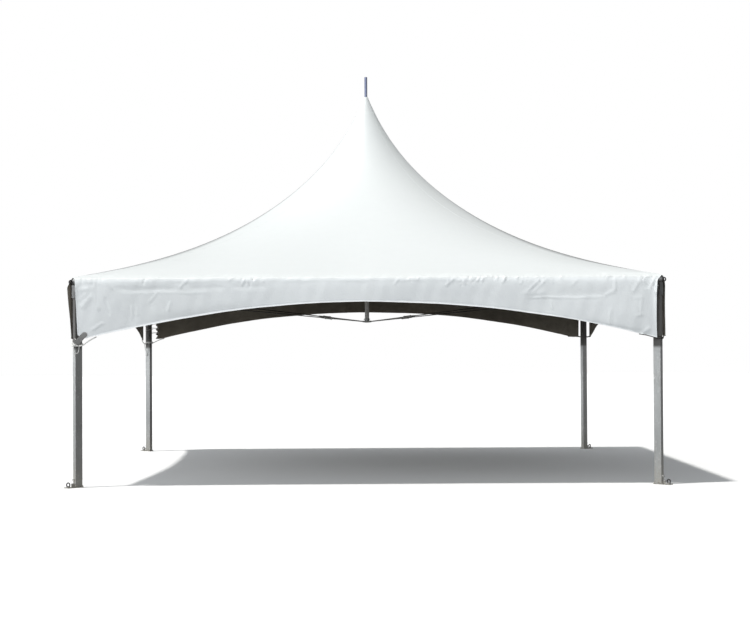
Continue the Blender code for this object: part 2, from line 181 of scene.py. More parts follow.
def at_corner(points, quarter):
    """Points of a corner's own frame set at that corner. X runs from the leg's axis outwards along the
    diagonal, and Y to the left of it."""
    x, y, z = np.moveaxis(np.asarray(points, float), -1, 0)
    half_turn = math.sqrt(0.5)
    return about_mast(joined(LEG_HALF + (x - y) * half_turn, LEG_HALF + (x + y) * half_turn, z), quarter)


def moved(patches, move, quarter):
    """Patches moved by one of the two functions above."""
    return [(move(p[0], quarter), *p[1:]) for p in patches]


def piece(name, patches, materials, slot=None, stands_for=(), **edges):
    """An object that rides with the frame. It can name the stand-ins that it hides. The slot argument is not
    used.
    """
    made = mesh_object(name, patches, materials, **edges)
    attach(made, "root")
    if stands_for:
        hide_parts(*stands_for)
    seen = made.evaluated_get(bpy.context.evaluated_depsgraph_get())
    print(f"{made.name}: {sum(len(p.vertices) - 2 for p in seen.data.polygons)} triangles")
    return made


# %% [markdown]
# ## Paths and tubes
#
# A rope is a round section carried along a smooth path through a few given points, and the section turns as
# little as it can on the way.


# %% Paths
def distance_along(path):
    """The distance from a path's first point to each of its points."""
    steps = np.linalg.norm(np.diff(path, axis=0), axis=1)
    return np.concatenate([[0.0], np.cumsum(steps)])


def smooth_path(knots, spacing):
    """An evenly spaced curve through the knots: cubics that leave and arrive in the direction of the chord
    between a knot's neighbours (Catmull-Rom)."""
    knots = np.asarray(knots, float)
    ends = np.concatenate([2 * knots[:1] - knots[1:2], knots, 2 * knots[-1:] - knots[-2:-1]])
    t = np.linspace(0, len(knots) - 1, 40 * len(knots))
    i = np.minimum(t.astype(int), len(knots) - 2)
    f = (t - i)[:, None]
    a, b, c, d = ends[i], ends[i + 1], ends[i + 2], ends[i + 3]
    bend = (2 * a - 5 * b + 4 * c - d) * f**2 + (3 * b - a - 3 * c + d) * f**3
    fine = b + 0.5 * ((c - a) * f + bend)
    along = distance_along(fine)
    even = np.linspace(0, along[-1], max(4, round(along[-1] / spacing) + 1))
    return joined(*(np.interp(even, along, fine[:, k]) for k in range(3)))


def unit(vectors):
    """Vectors made one long."""
    return vectors / np.linalg.norm(vectors, axis=-1, keepdims=True)


def tube(path, radius, sides=12):
    """A closed tube. radius is a function of the angle round the section and of the distance along. The
    section's first direction is square to the way the path moves least, so it never turns over."""
    tangent = unit(np.gradient(path, axis=0))
    least = np.linalg.svd(tangent, full_matrices=False)[2][-1]
    side = unit(np.cross(least, tangent))
    up = np.cross(tangent, side)
    angle, along = np.meshgrid(np.arange(sides) * 2 * math.pi / sides, distance_along(path))
    reach, angle = radius(angle, along)[..., None], angle[..., None]
    ring = path[:, None] + reach * (np.cos(angle) * side[:, None] + np.sin(angle) * up[:, None])
    start, end = (np.repeat(path[k][None, None], sides, axis=1) for k in (0, -1))
    return patch(np.concatenate([start, ring, end])[:, ::-1], closed=True)


def laid_rope(diameter, strands=3, lay=4.0):
    """A laid rope's radius: round strands that turn once in lay diameters, with dips between them."""

    def radius(angle, along):
        turns = angle - 2 * math.pi * along / (lay * diameter)
        return diameter / 2 * (0.76 + 0.24 * np.abs(np.cos(strands * turns / 2)))

    return radius


# %% [markdown]
# ## Turned and cut hardware
#
# Bolts, nuts and eyelets are turned: a profile of radius against height is carried round an axis. A
# hexagon is the same thing with a radius that depends on the angle.


# %% Turned shapes
def lathe(profile, sides=24, hexagon=False, slot=0):
    """(radius, height) points, from the bottom to the top of an outer side, turned about Z. A hexagon's
    radius is its flat's distance over the cosine of the angle from that flat's middle."""
    profile = np.asarray(profile, float)
    angle = np.arange(sides) * 2 * math.pi / sides
    sixth = math.pi / 3
    flat = 1 / np.cos((angle + sixth / 2) % sixth - sixth / 2) if hexagon else np.ones(sides)
    radius = profile[:, :1] * flat
    points = joined(radius * np.cos(angle), radius * np.sin(angle), profile[:, 1:])
    return patch(points[::-1], closed=True, slot=slot)


def aimed(patches, origin, axis):
    """Patches with Z laid along an axis, and their origin at a point."""
    turn = np.array(Vector(axis).to_track_quat("Z", "Y").to_matrix())
    return [(p[0] @ turn.T + np.asarray(origin), *p[1:]) for p in patches]


def bolt_head(size):
    """A hexagon head on its washer, standing on Z = 0. size is the thread's diameter."""
    head = [(0, 0.16), (0.80, 0.16), (0.88, 0.24), (0.88, 0.72), (0.78, 0.82), (0, 0.82)]
    washer = [(0, 0), (1.1, 0), (1.15, 0.05), (1.12, 0.16), (0, 0.16)]
    return lathe(np.multiply(size, head), hexagon=True) + lathe(np.multiply(size, washer))


def bolt_end(size, out):
    """A nut on its washer and the thread's end, whose radius rises and falls with each 1.5 mm of length."""
    turns = np.arange(0.9 * size, out, 0.00075)
    ripple = size / 2 - 0.0005 * (np.arange(len(turns)) % 2)
    start = [(0, 0.5 * size), (size / 2, 0.5 * size)]
    return bolt_head(size) + lathe([*start, *zip(ripple, turns), (size * 0.40, out), (0, out)], 16)


# %% [markdown]
# ## The materials' shared effects
#
# Three effects appear on many finishes, so each is a node group that gives out a mask: worn metal is
# scratches and rubbed spots, blotches are slow changes of tone, and splash is dust near the ground.


# %% Node helpers
def fill(tree, socket, value):
    """Link a value that is a socket, or else set it. A colour is given by its first three numbers."""
    if isinstance(value, bpy.types.NodeSocket):
        tree.links.new(value, socket)
    else:
        socket.default_value = (*value, 1.0) if socket.type == "RGBA" else value


def add_node(tree, kind, settings=(), **values):
    """A shader node with its settings, and the values of its inputs by name, or by i and a number."""
    made = tree.nodes.new("ShaderNode" + kind)
    for key, value in dict(settings).items():
        setattr(made, key, value)
    for key, value in values.items():
        fill(tree, made.inputs[int(key[1:]) if key[1:].isdigit() else key], value)
    return made


def maths(tree, operation, first, second=0.0, clamp=False):
    """The output of one arithmetic step."""
    step = add_node(tree, "Math", {"operation": operation, "use_clamp": clamp}, i0=first, i1=second)
    return step.outputs[0]


def product(tree, first, *others):
    """Several values multiplied."""
    for other in others:
        first = maths(tree, "MULTIPLY", first, other)
    return first


def blend(tree, share, first, second):
    """A mix of two colours by a share from 0 to 1."""
    return add_node(tree, "Mix", {"data_type": "RGBA"}, i0=share, i6=first, i7=second).outputs[2]


def stretch(tree, value, low, high, to_low=0.0, to_high=1.0):
    """A value mapped from one range to another, and kept inside it."""
    return add_node(tree, "MapRange", i0=value, i1=low, i2=high, i3=to_low, i4=to_high).outputs[0]


def object_place(tree, scale=(1.0, 1.0, 1.0), turn=(0.0, 0.0, 0.0)):
    """Object coordinates, scaled and turned."""
    place = add_node(tree, "TexCoord").outputs["Object"]
    return add_node(tree, "Mapping", Vector=place, Scale=scale, Rotation=turn).outputs[0]


def ground_height(tree):
    """The height above the ground."""
    return add_node(tree, "SeparateXYZ", Vector=object_place(tree)).outputs[2]


def noise(tree, scale, detail=3.0, place=None, rough=0.55):
    """Fractal noise at a number of cells a metre."""
    values = {"Vector": place or object_place(tree), "Scale": scale, "Detail": detail, "Roughness": rough}
    return add_node(tree, "TexNoise", **values).outputs[0]


# %% Shared effects
def effect_group(name, inputs, build):
    """A node group with named number inputs, and one output called Mask that build works out."""
    tree = bpy.data.node_groups.new(name, "ShaderNodeTree")
    for label, value in inputs.items():
        socket = tree.interface.new_socket(label, in_out="INPUT", socket_type="NodeSocketFloat")
        socket.default_value = value
    tree.interface.new_socket("Mask", in_out="OUTPUT", socket_type="NodeSocketFloat")
    given = tree.nodes.new("NodeGroupInput").outputs
    fill(tree, tree.nodes.new("NodeGroupOutput").inputs["Mask"], build(tree, given))
    return tree


def build_wear(tree, given):
    """Fine long scratches where a fine noise passes a threshold, and rubbed spots, inside slow blotches."""
    scratches = noise(tree, 1.0, 2.0, object_place(tree, (260.0, 260.0, 18.0), (0.3, 0.2, 0.0)))
    rubbed = stretch(tree, noise(tree, 34.0, 4.0), 0.56, 0.70)
    both = maths(tree, "MAXIMUM", stretch(tree, scratches, 0.60, 0.72), product(tree, rubbed, 0.7))
    return product(tree, both, stretch(tree, noise(tree, 3.0, 2.0), 0.35, 0.65), given["Amount"])


def build_blotches(tree, given):
    """Slow changes of tone from fractal noise."""
    slow = noise(tree, given["Scale"], 4.0, rough=0.5)
    return product(tree, stretch(tree, slow, 0.32, 0.70), given["Amount"])


def build_splash(tree, given):
    """Dust that fades with height above the ground and breaks up in spots."""
    ratio = maths(tree, "DIVIDE", ground_height(tree), given["Height"])
    fade = maths(tree, "POWER", maths(tree, "SUBTRACT", 1.0, ratio, clamp=True), 2.0)
    broken = stretch(tree, noise(tree, 60.0, 5.0), 0.35, 0.62, 0.25, 1.0)
    return product(tree, fade, broken, given["Amount"])


WEAR = effect_group("worn_metal", {"Amount": 1.0}, build_wear)
BLOTCHES = effect_group("blotches", {"Scale": 2.0, "Amount": 1.0}, build_blotches)
SPLASH = effect_group("ground_splash", {"Height": 0.35, "Amount": 1.0}, build_splash)
print("shared effects:", WEAR.name, BLOTCHES.name, SPLASH.name)


# %% Material basics
def effect(tree, group, **values):
    """The mask of a shared effect with its own values."""
    return add_node(tree, "Group", {"node_tree": group}, **values).outputs["Mask"]


def toned(tree, colour, darker, scale, amount=1.0):
    """A colour that is multiplied by darker in blotches."""
    mask = effect(tree, BLOTCHES, Scale=scale, Amount=amount)
    return blend(tree, mask, colour, [darker * c for c in colour])


def start_material(name, metallic, roughness):
    """A node material, its tree, and its Principled shader's constants."""
    made = bpy.data.materials.new(name)
    made.use_nodes = True
    shader = made.node_tree.nodes["Principled BSDF"]
    shader.inputs["Metallic"].default_value = metallic
    shader.inputs["Roughness"].default_value = roughness
    return made, made.node_tree


def dress(made, colour, rough=None, cover=None, height=None, depth=0.0):
    """Feed a shader what is given: colour, roughness, the share that covers its bare metal, and a bump from
    0 to 1 with its depth in metres."""
    tree = made.node_tree
    inputs = tree.nodes["Principled BSDF"].inputs
    fill(tree, inputs["Base Color"], colour)
    if rough:
        fill(tree, inputs["Roughness"], rough)
    if cover:
        fill(tree, inputs["Metallic"], maths(tree, "SUBTRACT", 1.0, cover, clamp=True))
    if height:
        bump = add_node(tree, "Bump", Height=height, Distance=depth, Strength=1.0)
        fill(tree, inputs["Normal"], bump.outputs[0])
    return made


# %% [markdown]
# ## Metals
#
# The legs, the rails and the mast are extruded aluminium. The corner fittings are rough castings. The
# foot plates and the turnbuckles are dipped in zinc, which freezes in angular grains. The rings and the
# stays are dark steel, and the pin at the peak is blue-grey.

# %% Metal finishes
DUST = (0.42, 0.38, 0.31)
# painted shade: the dark tone of the legs' upper parts, which stands in for the valances' shadow
LEG_SHADE_TONE = (0.085, 0.078, 0.073)
LEG_SHADE_FROM = (1.43, 1.46)  # heights over which the painted shade begins, behind the valances' lower corners
RUST = (0.16, 0.07, 0.035)
UPRIGHT_GRAIN = (420.0, 420.0, 2.0)
LEVEL_GRAIN = (2.0, 420.0, 420.0)


def extruded(name, colour, roughness, grain, shade_share=0.0):
    """Mill-finished aluminium: die lines along grain, scratches, dust, and painted shade, a dark tone from a
    height up where the legs stand behind the valances.
    """
    made, tree = start_material(name, 1.0, roughness)
    tone = toned(tree, colour, 0.80, 2.6)
    worn = blend(tree, effect(tree, WEAR, Amount=0.9), tone, (0.86, 0.86, 0.85))
    dust = effect(tree, SPLASH, Height=0.55, Amount=0.75)
    # painted shade: from these heights up the legs darken and lose their shine, in place of the valances'
    # shadow
    painted_shade = stretch(tree, ground_height(tree), *LEG_SHADE_FROM, 0.0, shade_share)
    dusty_and_shaded = blend(tree, painted_shade, blend(tree, dust, worn, DUST), LEG_SHADE_TONE)
    cover = maths(tree, "MAXIMUM", dust, painted_shade)
    lines = noise(tree, 1.0, 2.0, object_place(tree, grain))
    spread = stretch(tree, lines, 0.3, 0.7, roughness - 0.07, roughness + 0.08)
    rough = maths(tree, "ADD", spread, product(tree, cover, 0.3), clamp=True)
    return dress(made, dusty_and_shaded, rough, cover, lines, 0.00025)


def spangled(name, colour, cell, roughness):
    """Zinc: angular grains from a Voronoi pattern of cell grains a metre, each with its own tone."""
    made, tree = start_material(name, 1.0, roughness)
    cells = add_node(tree, "TexVoronoi", Vector=object_place(tree), Scale=cell)
    grain = add_node(tree, "SeparateColor", Color=cells.outputs["Color"]).outputs[0]
    tone = blend(tree, grain, [0.62 * c for c in colour], colour)
    worn = blend(tree, effect(tree, WEAR, Amount=0.7), tone, (0.75, 0.75, 0.74))
    dust = effect(tree, SPLASH, Height=0.16, Amount=0.8)
    rough = stretch(tree, grain, 0.0, 1.0, roughness - 0.1, roughness + 0.12)
    return dress(made, blend(tree, dust, worn, DUST), rough, dust, noise(tree, 300.0), 0.0003)


def cast(name, colour, roughness):
    """A sand casting: pebbled skin, darker in blotches, rubbed bright in places."""
    made, tree = start_material(name, 1.0, roughness)
    skin = noise(tree, 420.0, 5.0)
    tone = toned(tree, colour, 0.55, 14.0)
    worn = blend(tree, effect(tree, WEAR, Amount=1.0), tone, (0.62, 0.62, 0.61))
    rough = stretch(tree, skin, 0.3, 0.7, roughness - 0.08, roughness + 0.12)
    return dress(made, worn, rough, None, skin, 0.0006)


def weathered_steel(name, colour, rust, roughness, amount):
    """Dark steel with a film of rust where a blotchy mask says so."""
    made, tree = start_material(name, 1.0, roughness)
    mask = product(tree, stretch(tree, noise(tree, 55.0, 6.0, rough=0.7), 0.52, 0.66), amount)
    worn = blend(tree, effect(tree, WEAR, Amount=0.8), colour, (0.5, 0.5, 0.5))
    rough = stretch(tree, mask, 0.0, 1.0, roughness, 0.8)
    return dress(made, blend(tree, mask, worn, rust), rough, mask, noise(tree, 500.0), 0.0002)


CAST = cast("cast_aluminium", (0.32, 0.32, 0.32), 0.55)
GALVANISED = spangled("galvanised_steel", (0.42, 0.43, 0.43), 90.0, 0.32)
BRIGHT_ZINC = spangled("bright_zinc", (0.70, 0.70, 0.68), 400.0, 0.34)
RING_STEEL = weathered_steel("ring_steel", (0.045, 0.045, 0.05), RUST, 0.40, 0.5)
STAY_STEEL = weathered_steel("stay_steel", (0.06, 0.06, 0.06), RUST, 0.40, 0.25)
NODE_FINISH = {
    # the last number is the share of painted shade on the legs' upper parts
    "leg": extruded("aluminium", (0.52, 0.525, 0.52), 0.34, UPRIGHT_GRAIN, 0.85),
    # The mast's aluminium is lighter than the legs': painted light that lifts it out of the shade under the
    # roof.
    "mast": extruded("mast_tube_lightened", (0.80, 0.80, 0.79), 0.50, UPRIGHT_GRAIN),
    "rail": extruded("rail_tube", (0.55, 0.56, 0.56), 0.45, LEVEL_GRAIN),
    "corner_fitting": CAST,
    "mast_crown": CAST,
    "foot_plate": GALVANISED,
    "mast_foot": GALVANISED,
    # The turnbuckles take the lighter bright zinc rather than the galvanised finish: painted light for the
    # shade they hang in.
    "turnbuckle": BRIGHT_ZINC,
    "foot_ring": RING_STEEL,
    "corner_ring": RING_STEEL,
    "stay": STAY_STEEL,
    "peak_pin": weathered_steel("pin_steel", (0.20, 0.22, 0.32), (0.12, 0.10, 0.12), 0.30, 0.25),
}


def finish_nodes():
    """Give each of the frame's nodes the finish whose name is the longest start of the node's name."""
    count = 0
    for name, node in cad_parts.items():
        stems = [stem for stem in NODE_FINISH if name.startswith(stem)]
        for slot in node.material_slots if stems else ():
            slot.material = NODE_FINISH[max(stems, key=len)]
        count += bool(stems)
    return count


print("finished", finish_nodes(), "nodes of the frame")

# %% [markdown]
# ## Coated cloth
#
# The cloth is a scrim with a smooth coat on both sides: white outside, on a sheet's first material slot,
# and dark grey inside, on its second. Up close the threads show as a faint square grid.

# %% Cloth finishes
ROOF_WHITE = (0.738, 0.762, 0.759)
LAP_HEIGHTS = (RAIL_HEIGHT + 0.005, RAIL_HEIGHT + 0.028)  # where the valances' tone turns into the roof's
# painted shade: the dark tone that the roof takes where it is seen edge-on, which draws its outline
EDGE_ON_SHADE_TONE = (0.10, 0.10, 0.10)
EDGE_ON = (0.90, 0.98)  # how far the cloth has turned from the eye where that tone starts and ends


def coated_cloth(name, colour, stain, roughness, stained, above=None, edge_shade=0.0):
    """Slow stains, gloss that changes with them, and the scrim's square threads. The colour can change above
    the eave, and where the cloth is seen edge-on a share of it turns to a dark tone, painted shade that draws
    the roof's outline."""
    made, tree = start_material(name, 0.0, roughness)
    fine = effect(tree, BLOTCHES, Scale=9.0, Amount=stained * 0.5)
    mask = maths(tree, "ADD", effect(tree, BLOTCHES, Scale=0.9, Amount=stained), fine, clamp=True)
    tone = blend(tree, mask, colour, stain)
    if above:
        tone = blend(tree, stretch(tree, ground_height(tree), *LAP_HEIGHTS), tone, above)
    if edge_shade:
        facing = add_node(tree, "LayerWeight", Blend=0.5).outputs["Facing"]
        tone = blend(tree, stretch(tree, facing, *EDGE_ON, 0.0, edge_shade), tone, EDGE_ON_SHADE_TONE)
    weave = 0.0
    for turn in ((0.0, 0.0, 0.0), (0.0, 0.0, math.pi / 2), (0.0, math.pi / 2, 0.0)):
        wave = add_node(tree, "TexWave", Vector=object_place(tree, turn=turn), Scale=110.0)
        weave = maths(tree, "ADD", wave.outputs["Fac"], weave)
    height = maths(tree, "ADD", product(tree, weave, 0.08), product(tree, noise(tree, 45.0), 0.7))
    tree.nodes["Principled BSDF"].inputs["Sheen Weight"].default_value = 0.05
    rough = stretch(tree, mask, 0.0, 1.0, roughness - 0.05, roughness + 0.15)
    return dress(made, tone, rough, None, height, 0.0007)


def rope_fibre(name, colour):
    """Spun fibre: fine hairs in the strands, and grey handling dirt."""
    made, tree = start_material(name, 0.0, 0.85)
    tone = toned(tree, colour, 0.62, 40.0, 0.7)
    return dress(made, tone, height=noise(tree, 900.0, 2.0), depth=0.0004)


def webbing(name, colour):
    """Woven webbing: ribs across its width, from its own V, and a little dirt."""
    made, tree = start_material(name, 0.0, 0.8)
    place = add_node(tree, "TexCoord").outputs["UV"]
    ribs = add_node(tree, "TexWave", {"bands_direction": "Y"}, Vector=place, Scale=22.0)
    tone = toned(tree, colour, 0.6, 30.0, 0.6)
    return dress(made, tone, height=ribs.outputs["Fac"], depth=0.0006)


ROOF_CLOTH = coated_cloth("roof_cloth", ROOF_WHITE, (0.708, 0.732, 0.73), 0.42, 0.5, edge_shade=0.85)
# The valances' cloth is a brighter, bluer white than the roof's same cloth: painted light for their shaded
# hanging faces. Above the eave it turns into the roof's white.
LIGHTENED_VALANCE_CLOTH = coated_cloth("valance_cloth", (0.86, 0.888, 0.898), (0.81, 0.838, 0.856), 0.45, 0.9,
                             ROOF_WHITE)
CLOTH_INSIDE = coated_cloth("cloth_inside", (0.32, 0.285, 0.235), (0.205, 0.182, 0.15), 0.60, 1.0)
ROPE = rope_fibre("rope", (0.92, 0.91, 0.89))
# Black cord for the right-hand corners' hem ties: the same cord as the others, painted shade where they lie
# in the tent's shadow.
SHADED_BLACK_CORD = rope_fibre("shaded_black_cord", (0.060, 0.056, 0.052))
WEBBING = webbing("webbing", (0.30, 0.295, 0.29))
# black for the eyelets' middles: painted shade where a hole would show the dark inside
HOLE_SHADE = dress(start_material("hole_shade", 0.0, 0.9)[0], (0.012, 0.012, 0.012))
print("cloth finishes:", ROOF_CLOTH.name, LIGHTENED_VALANCE_CLOTH.name, CLOTH_INSIDE.name)

# %% [markdown]
# ## Creases and puckers
#
# Folded cloth keeps the lines of its packing, and cloth that is pulled over a rail puckers. Both are narrow
# ridges and valleys on the flat cloth, placed by the distance along the eave from the middle, as seen from
# outside, and by the depth below the eave, which is negative on the roof. The front's long creases are listed
# one by one, and the rest are random ones from a seed.


# %% Ridges on flat cloth
def crease(x, depth, start_x, start_depth, end_x, end_depth, width, height):
    """The height of one straight crease: a bell curve across it, which fades in its first and last fifth."""
    run, fall = end_x - start_x, end_depth - start_depth
    length = math.hypot(run, fall)
    t = ((x - start_x) * run + (depth - start_depth) * fall) / length**2
    across = ((x - start_x) * fall - (depth - start_depth) * run) / length
    fade = clamp(np.minimum(t, 1 - t) * 5)
    return height * fade * fade * (3 - 2 * fade) * np.exp(-((across / width) ** 2))


FRONT_CREASES = (  # in millimetres: place and depth of the start and of the end, half width, height
    (-3030, 50, -2860, 48, 20, -6), (-3040, 120, -2910, 82, 14, 4),
    (-3020, 210, -2920, 120, 14, 3), (-3000, 310, -2860, 130, 26, 4),
    (-2880, 160, -2800, 340, 20, 4.2), (-2900, 530, -2760, 450, 16, 3.2),
    (-2780, -20, -2660, 120, 14, 4), (-2700, 104, -1930, 104, 30, -3.8),
    (-2740, 180, -2700, 390, 18, -3), (-2660, 142, -1600, 140, 10, 1.6),
    (-2470, 255, -2475, 420, 12, 3.4), (-2420, 280, -2420, 390, 11, 2.6),
    (-2300, 250, -2170, 125, 10, 3), (-2450, 490, -1150, 295, 60, -6.5),
    (-2070, 225, -2100, 350, 14, 3), (-1970, 100, -1860, -20, 10, 4.6),
    (-1900, 92, -1460, 94, 28, -3), (-1460, 82, -1020, 84, 26, -2.6),
    (280, 75, 340, -10, 10, 3.6), (-2950, 4, 1750, 4, 28, 7),
    (800, 95, 920, -5, 11, 4.4), (950, 80, 1040, -10, 9, 3.6),
    (1080, 60, 1160, -15, 9, -3), (1660, 160, 1810, 5, 14, 3.4),
    (1730, 165, 1900, -5, 12, 2.6), (1600, 165, 1900, 160, 30, 2.8),
    (1930, 172, 2580, 176, 56, -3.4), (1600, 212, 2560, 212, 9, 3),
    (1920, 230, 1920, 350, 9, 2.6), (2140, 85, 2220, 0, 10, 3),
    (2460, 205, 2590, 135, 14, 4), (2580, 160, 2605, -10, 14, 4.8),
    (2550, 310, 2530, 530, 18, 2.6), (2760, 165, 2870, 5, 20, 4.2),
    (2930, 0, 2930, 130, 30, -8), (2770, 217, 2900, 215, 10, 2.8),
    (2800, 405, 2910, 395, 11, 2.8), (2866, 220, 2866, 410, 10, 2.6),
    (2950, 115, 3030, -10, 12, 11), (2965, 90, 3020, 200, 12, 8),
    (2840, 610, 2960, 530, 18, 4), (2200, 490, 3020, 640, 50, -8),
)


def random_creases(seed, puckers=60, tucks=7, folds=16):
    """Short slanting puckers that hang in groups from the eave, level tucks below it, and longer folds."""
    draw = np.random.default_rng(seed)
    groups = draw.uniform(-2.95, 2.95, 13)
    out = []
    for _ in range(puckers):
        x = np.clip(draw.choice(groups) + draw.normal(0, 0.13), -2.98, 2.98)
        length = draw.uniform(0.035, 0.12)
        slant = draw.normal(-0.35, 0.55)
        top = draw.uniform(-0.060, -0.005)
        height = draw.choice([-1, 1]) * draw.uniform(0.0015, 0.0052)
        end = (x + length * math.sin(slant), top + length * math.cos(slant))
        out.append((x, top, *end, draw.uniform(0.006, 0.011), height))
    for _ in range(tucks):
        x = draw.uniform(-2.9, 2.3)
        depth = draw.uniform(0.045, 0.070)
        end = (x + draw.uniform(0.25, 0.7), depth + draw.normal(0, 0.006))
        out.append((x, depth, *end, draw.uniform(0.018, 0.030), draw.uniform(-0.0040, 0.0010)))
    for _ in range(folds):
        x = draw.uniform(-2.9, 2.6)
        depth = draw.uniform(0.08, 0.18) + 0.03 * x * x
        slant = draw.choice([0.0, 1.45, 1.57, 0.5, 1.1])
        length = draw.uniform(0.08, 0.35)
        end = (x + length * math.cos(slant), depth + length * math.sin(slant))
        out.append((x, depth, *end, draw.uniform(0.010, 0.022), draw.uniform(-0.0030, 0.0034)))
    return out


SIDE_SEEDS = {"back": 11, "left": 23, "front": 53, "right": 41}
SIDE_CREASES = {side: random_creases(seed) for side, seed in SIDE_SEEDS.items() if side != "front"}
SIDE_CREASES["front"] = [*random_creases(SIDE_SEEDS["front"], 110, 0, 0), *np.multiply(MM, FRONT_CREASES)]
print({side: len(found) for side, found in SIDE_CREASES.items()}, "creases")


def relief(side, x, depth):
    """How far a side's cloth stands out: its creases, bent a little by sine waves, and slow waves that grow
    with depth."""
    bent_x = x + 0.008 * np.sin(15 * depth + 3 * x)
    bent_depth = depth + 0.005 * np.sin(11 * x) + 0.002 * np.sin(31 * x)
    creases = sum(crease(bent_x, bent_depth, *line) for line in SIDE_CREASES[side])
    phase = SIDE_SEEDS[side]
    slow = np.sin(2.1 * x + phase) + 0.6 * np.sin(4.7 * x + 2.3 * phase) + 0.35 * np.sin(9.1 * x + 5 * depth)
    ripple = np.sin(23 * x + phase) * np.sin(7.3 * x + 9 * depth) + 0.6 * np.sin(41 * x + 14 * depth)
    return creases + 0.006 * slow * np.clip(depth / 0.3, 0, 1.3) + 0.0009 * ripple


# %% [markdown]
# ## Sheets with two sides
#
# A sheet is a grid of points for its white side. Its dark side lies a thickness behind, and narrow
# strips close the edges, or stay out at a seam. Sheets that meet at a hip lean their normals into the
# plane between them, so that their dark sides meet as well.

# %% Sheets from grids
CLOTH_THICK = 0.0022


def grid_normals(points, hip_rows=0):
    """Each point's outward direction: the cross product of the ways down the rows and along the columns. In
    the first hip_rows rows the end columns lose the part that crosses the diagonal plane."""
    normal = unit(np.cross(unit(np.gradient(points, axis=0)), unit(np.gradient(points, axis=1))))
    for column, sign in ((0, -1.0), (-1, 1.0)):
        across = np.array([1.0, sign, 0.0]) * math.sqrt(0.5)
        edge = normal[:hip_rows, column]
        normal[:hip_rows, column] = unit(edge - (edge @ across)[:, None] * across)
    return normal


def two_sided(points, thickness, hip_rows=0, sides_open=False):
    """A sheet's outside, its inside, and the strips between their edges."""
    inside = points - thickness * grid_normals(points, hip_rows)
    out = patch(points) + patch(inside[:, ::-1], slot=1)
    out += patch(np.stack([inside[0], points[0]])) + patch(np.stack([points[-1], inside[-1]]))
    if not sides_open:
        out += patch(np.stack([inside[:, 0], points[:, 0]], axis=1))
        out += patch(np.stack([points[:, -1], inside[:, -1]], axis=1))
    return out


def grid_area(points):
    """Half the length of the cross product of each quad's two diagonals, summed."""
    a, b, c, d = cell_corners(points)
    return float(np.linalg.norm(np.cross(c - a, b - d), axis=-1).sum() / 2)


# %% [markdown]
# ## The roof
#
# The roof is one sheet, welded from four gores and pulled tight between the peak and the eaves. Cloth
# that is pulled both ways becomes a saddle: its slope falls off as one over the distance from the mast,
# which gives a logarithm for the height, and each level section is a superellipse, from a circle at the
# peak to a square at the eave. A welded strip covers each hip.

# %% Roof sizes
PEAK_HALF = 0.0240  # half width of the opening round the pin
EAVE_SLOPE = 0.363
ROOF_CURVE = 0.9255
ROOF_BEND = 0.358
CORNER_CUT = 3.088  # half width at which the corners are cut off
SQUARE_FROM = 3.030  # half width from which a level section is a square
LAP_HALF = 3.000  # half width of the seam between the roof and the valances
LAP_WIDTH = 0.030
EAVE_ANGLE = math.atan(EAVE_SLOPE)
EDGE_HALF = RAIL_HALF + EAVE_REACH * math.sin(EAVE_ANGLE)
EDGE_HEIGHT = RAIL_HEIGHT + EAVE_REACH * math.cos(EAVE_ANGLE)
SEAM_WIDTH = 0.016  # of the welded strip on each side of a hip
SEAM_RISE = 0.0012
SEAM_THICK = 0.0020
HIP_CALM = 0.12  # beside a hip's strip, where the creases fade
PUCKER_REACH = 0.45  # up the roof from the eave, where they fade too
FOLD_HEIGHT = 0.0035
FOLD_REACH = 0.7  # from an eave's corner, over which the tension folds fade


# %% Roof surface
def roof_height(half):
    """Height of the roof in the middle of a side: a logarithm that ends with the eave's slope."""
    straight = ROOF_CURVE / (EDGE_HALF + ROOF_BEND) - EAVE_SLOPE
    curve = ROOF_CURVE * np.log((EDGE_HALF + ROOF_BEND) / (half + ROOF_BEND))
    return EDGE_HEIGHT + curve - straight * (EDGE_HALF - half)


def section_points(half, height, u):
    """Points of the back's cloth, and their place along the eave. u runs from -1 at the left hip, as seen
    from outside, to 1. In the direction (u, 1) a superellipse lies at 1 / (1 + |u|^p)^(1/p) of the way
    to the square. Beyond the corner's cut the sections get shorter again."""
    share = 0.5 * clamp(1 - (half / SQUARE_FROM) ** 2)  # one over p: a half for a circle
    power = 1 / np.maximum(share, 0.002)
    factor = (1 + np.abs(u) ** power) ** -share
    x = np.minimum(half, 2 * CORNER_CUT - half) * u * factor
    return joined(-x, half * factor, height), x


def tension_folds(x, half, side):
    """Faint folds that fan out from the eave's corners: waves of the angle about each, soon fading."""
    out = 0.0
    for end in (-1, 1):
        away_x, away_y = end * CORNER_CUT - x, CORNER_CUT - half
        distance = np.hypot(away_x, away_y)
        angle = np.arctan2(away_y, end * away_x)
        fade = np.exp(-distance / FOLD_REACH) * clamp(distance / 0.25)
        out += FOLD_HEIGHT * np.sin(15 * angle + SIDE_SEEDS[side] + end) * fade
    return out


def gore(side, rows=36, columns=161):
    """The points of one gore, with closer rows near the peak and closer columns near the hips."""
    half = PEAK_HALF + (LAP_HALF + LAP_WIDTH - PEAK_HALF) * np.linspace(0, 1, rows)[:, None] ** 1.5
    spread = np.linspace(-1, 1, columns)[None, :]
    u = 0.7 * spread + 0.3 * np.sin(spread * math.pi / 2)
    points, x = section_points(half, roof_height(half), u)
    away_from_hip = clamp(((1 - np.abs(u)) * half - SEAM_WIDTH) / HIP_CALM)
    depth = (half - EDGE_HALF) * math.hypot(1, EAVE_SLOPE)
    rise = relief(side, x, depth) * clamp(1 + depth / PUCKER_REACH) + tension_folds(x, half, side)
    return points + grid_normals(points, rows) * (rise * away_from_hip)[..., None]


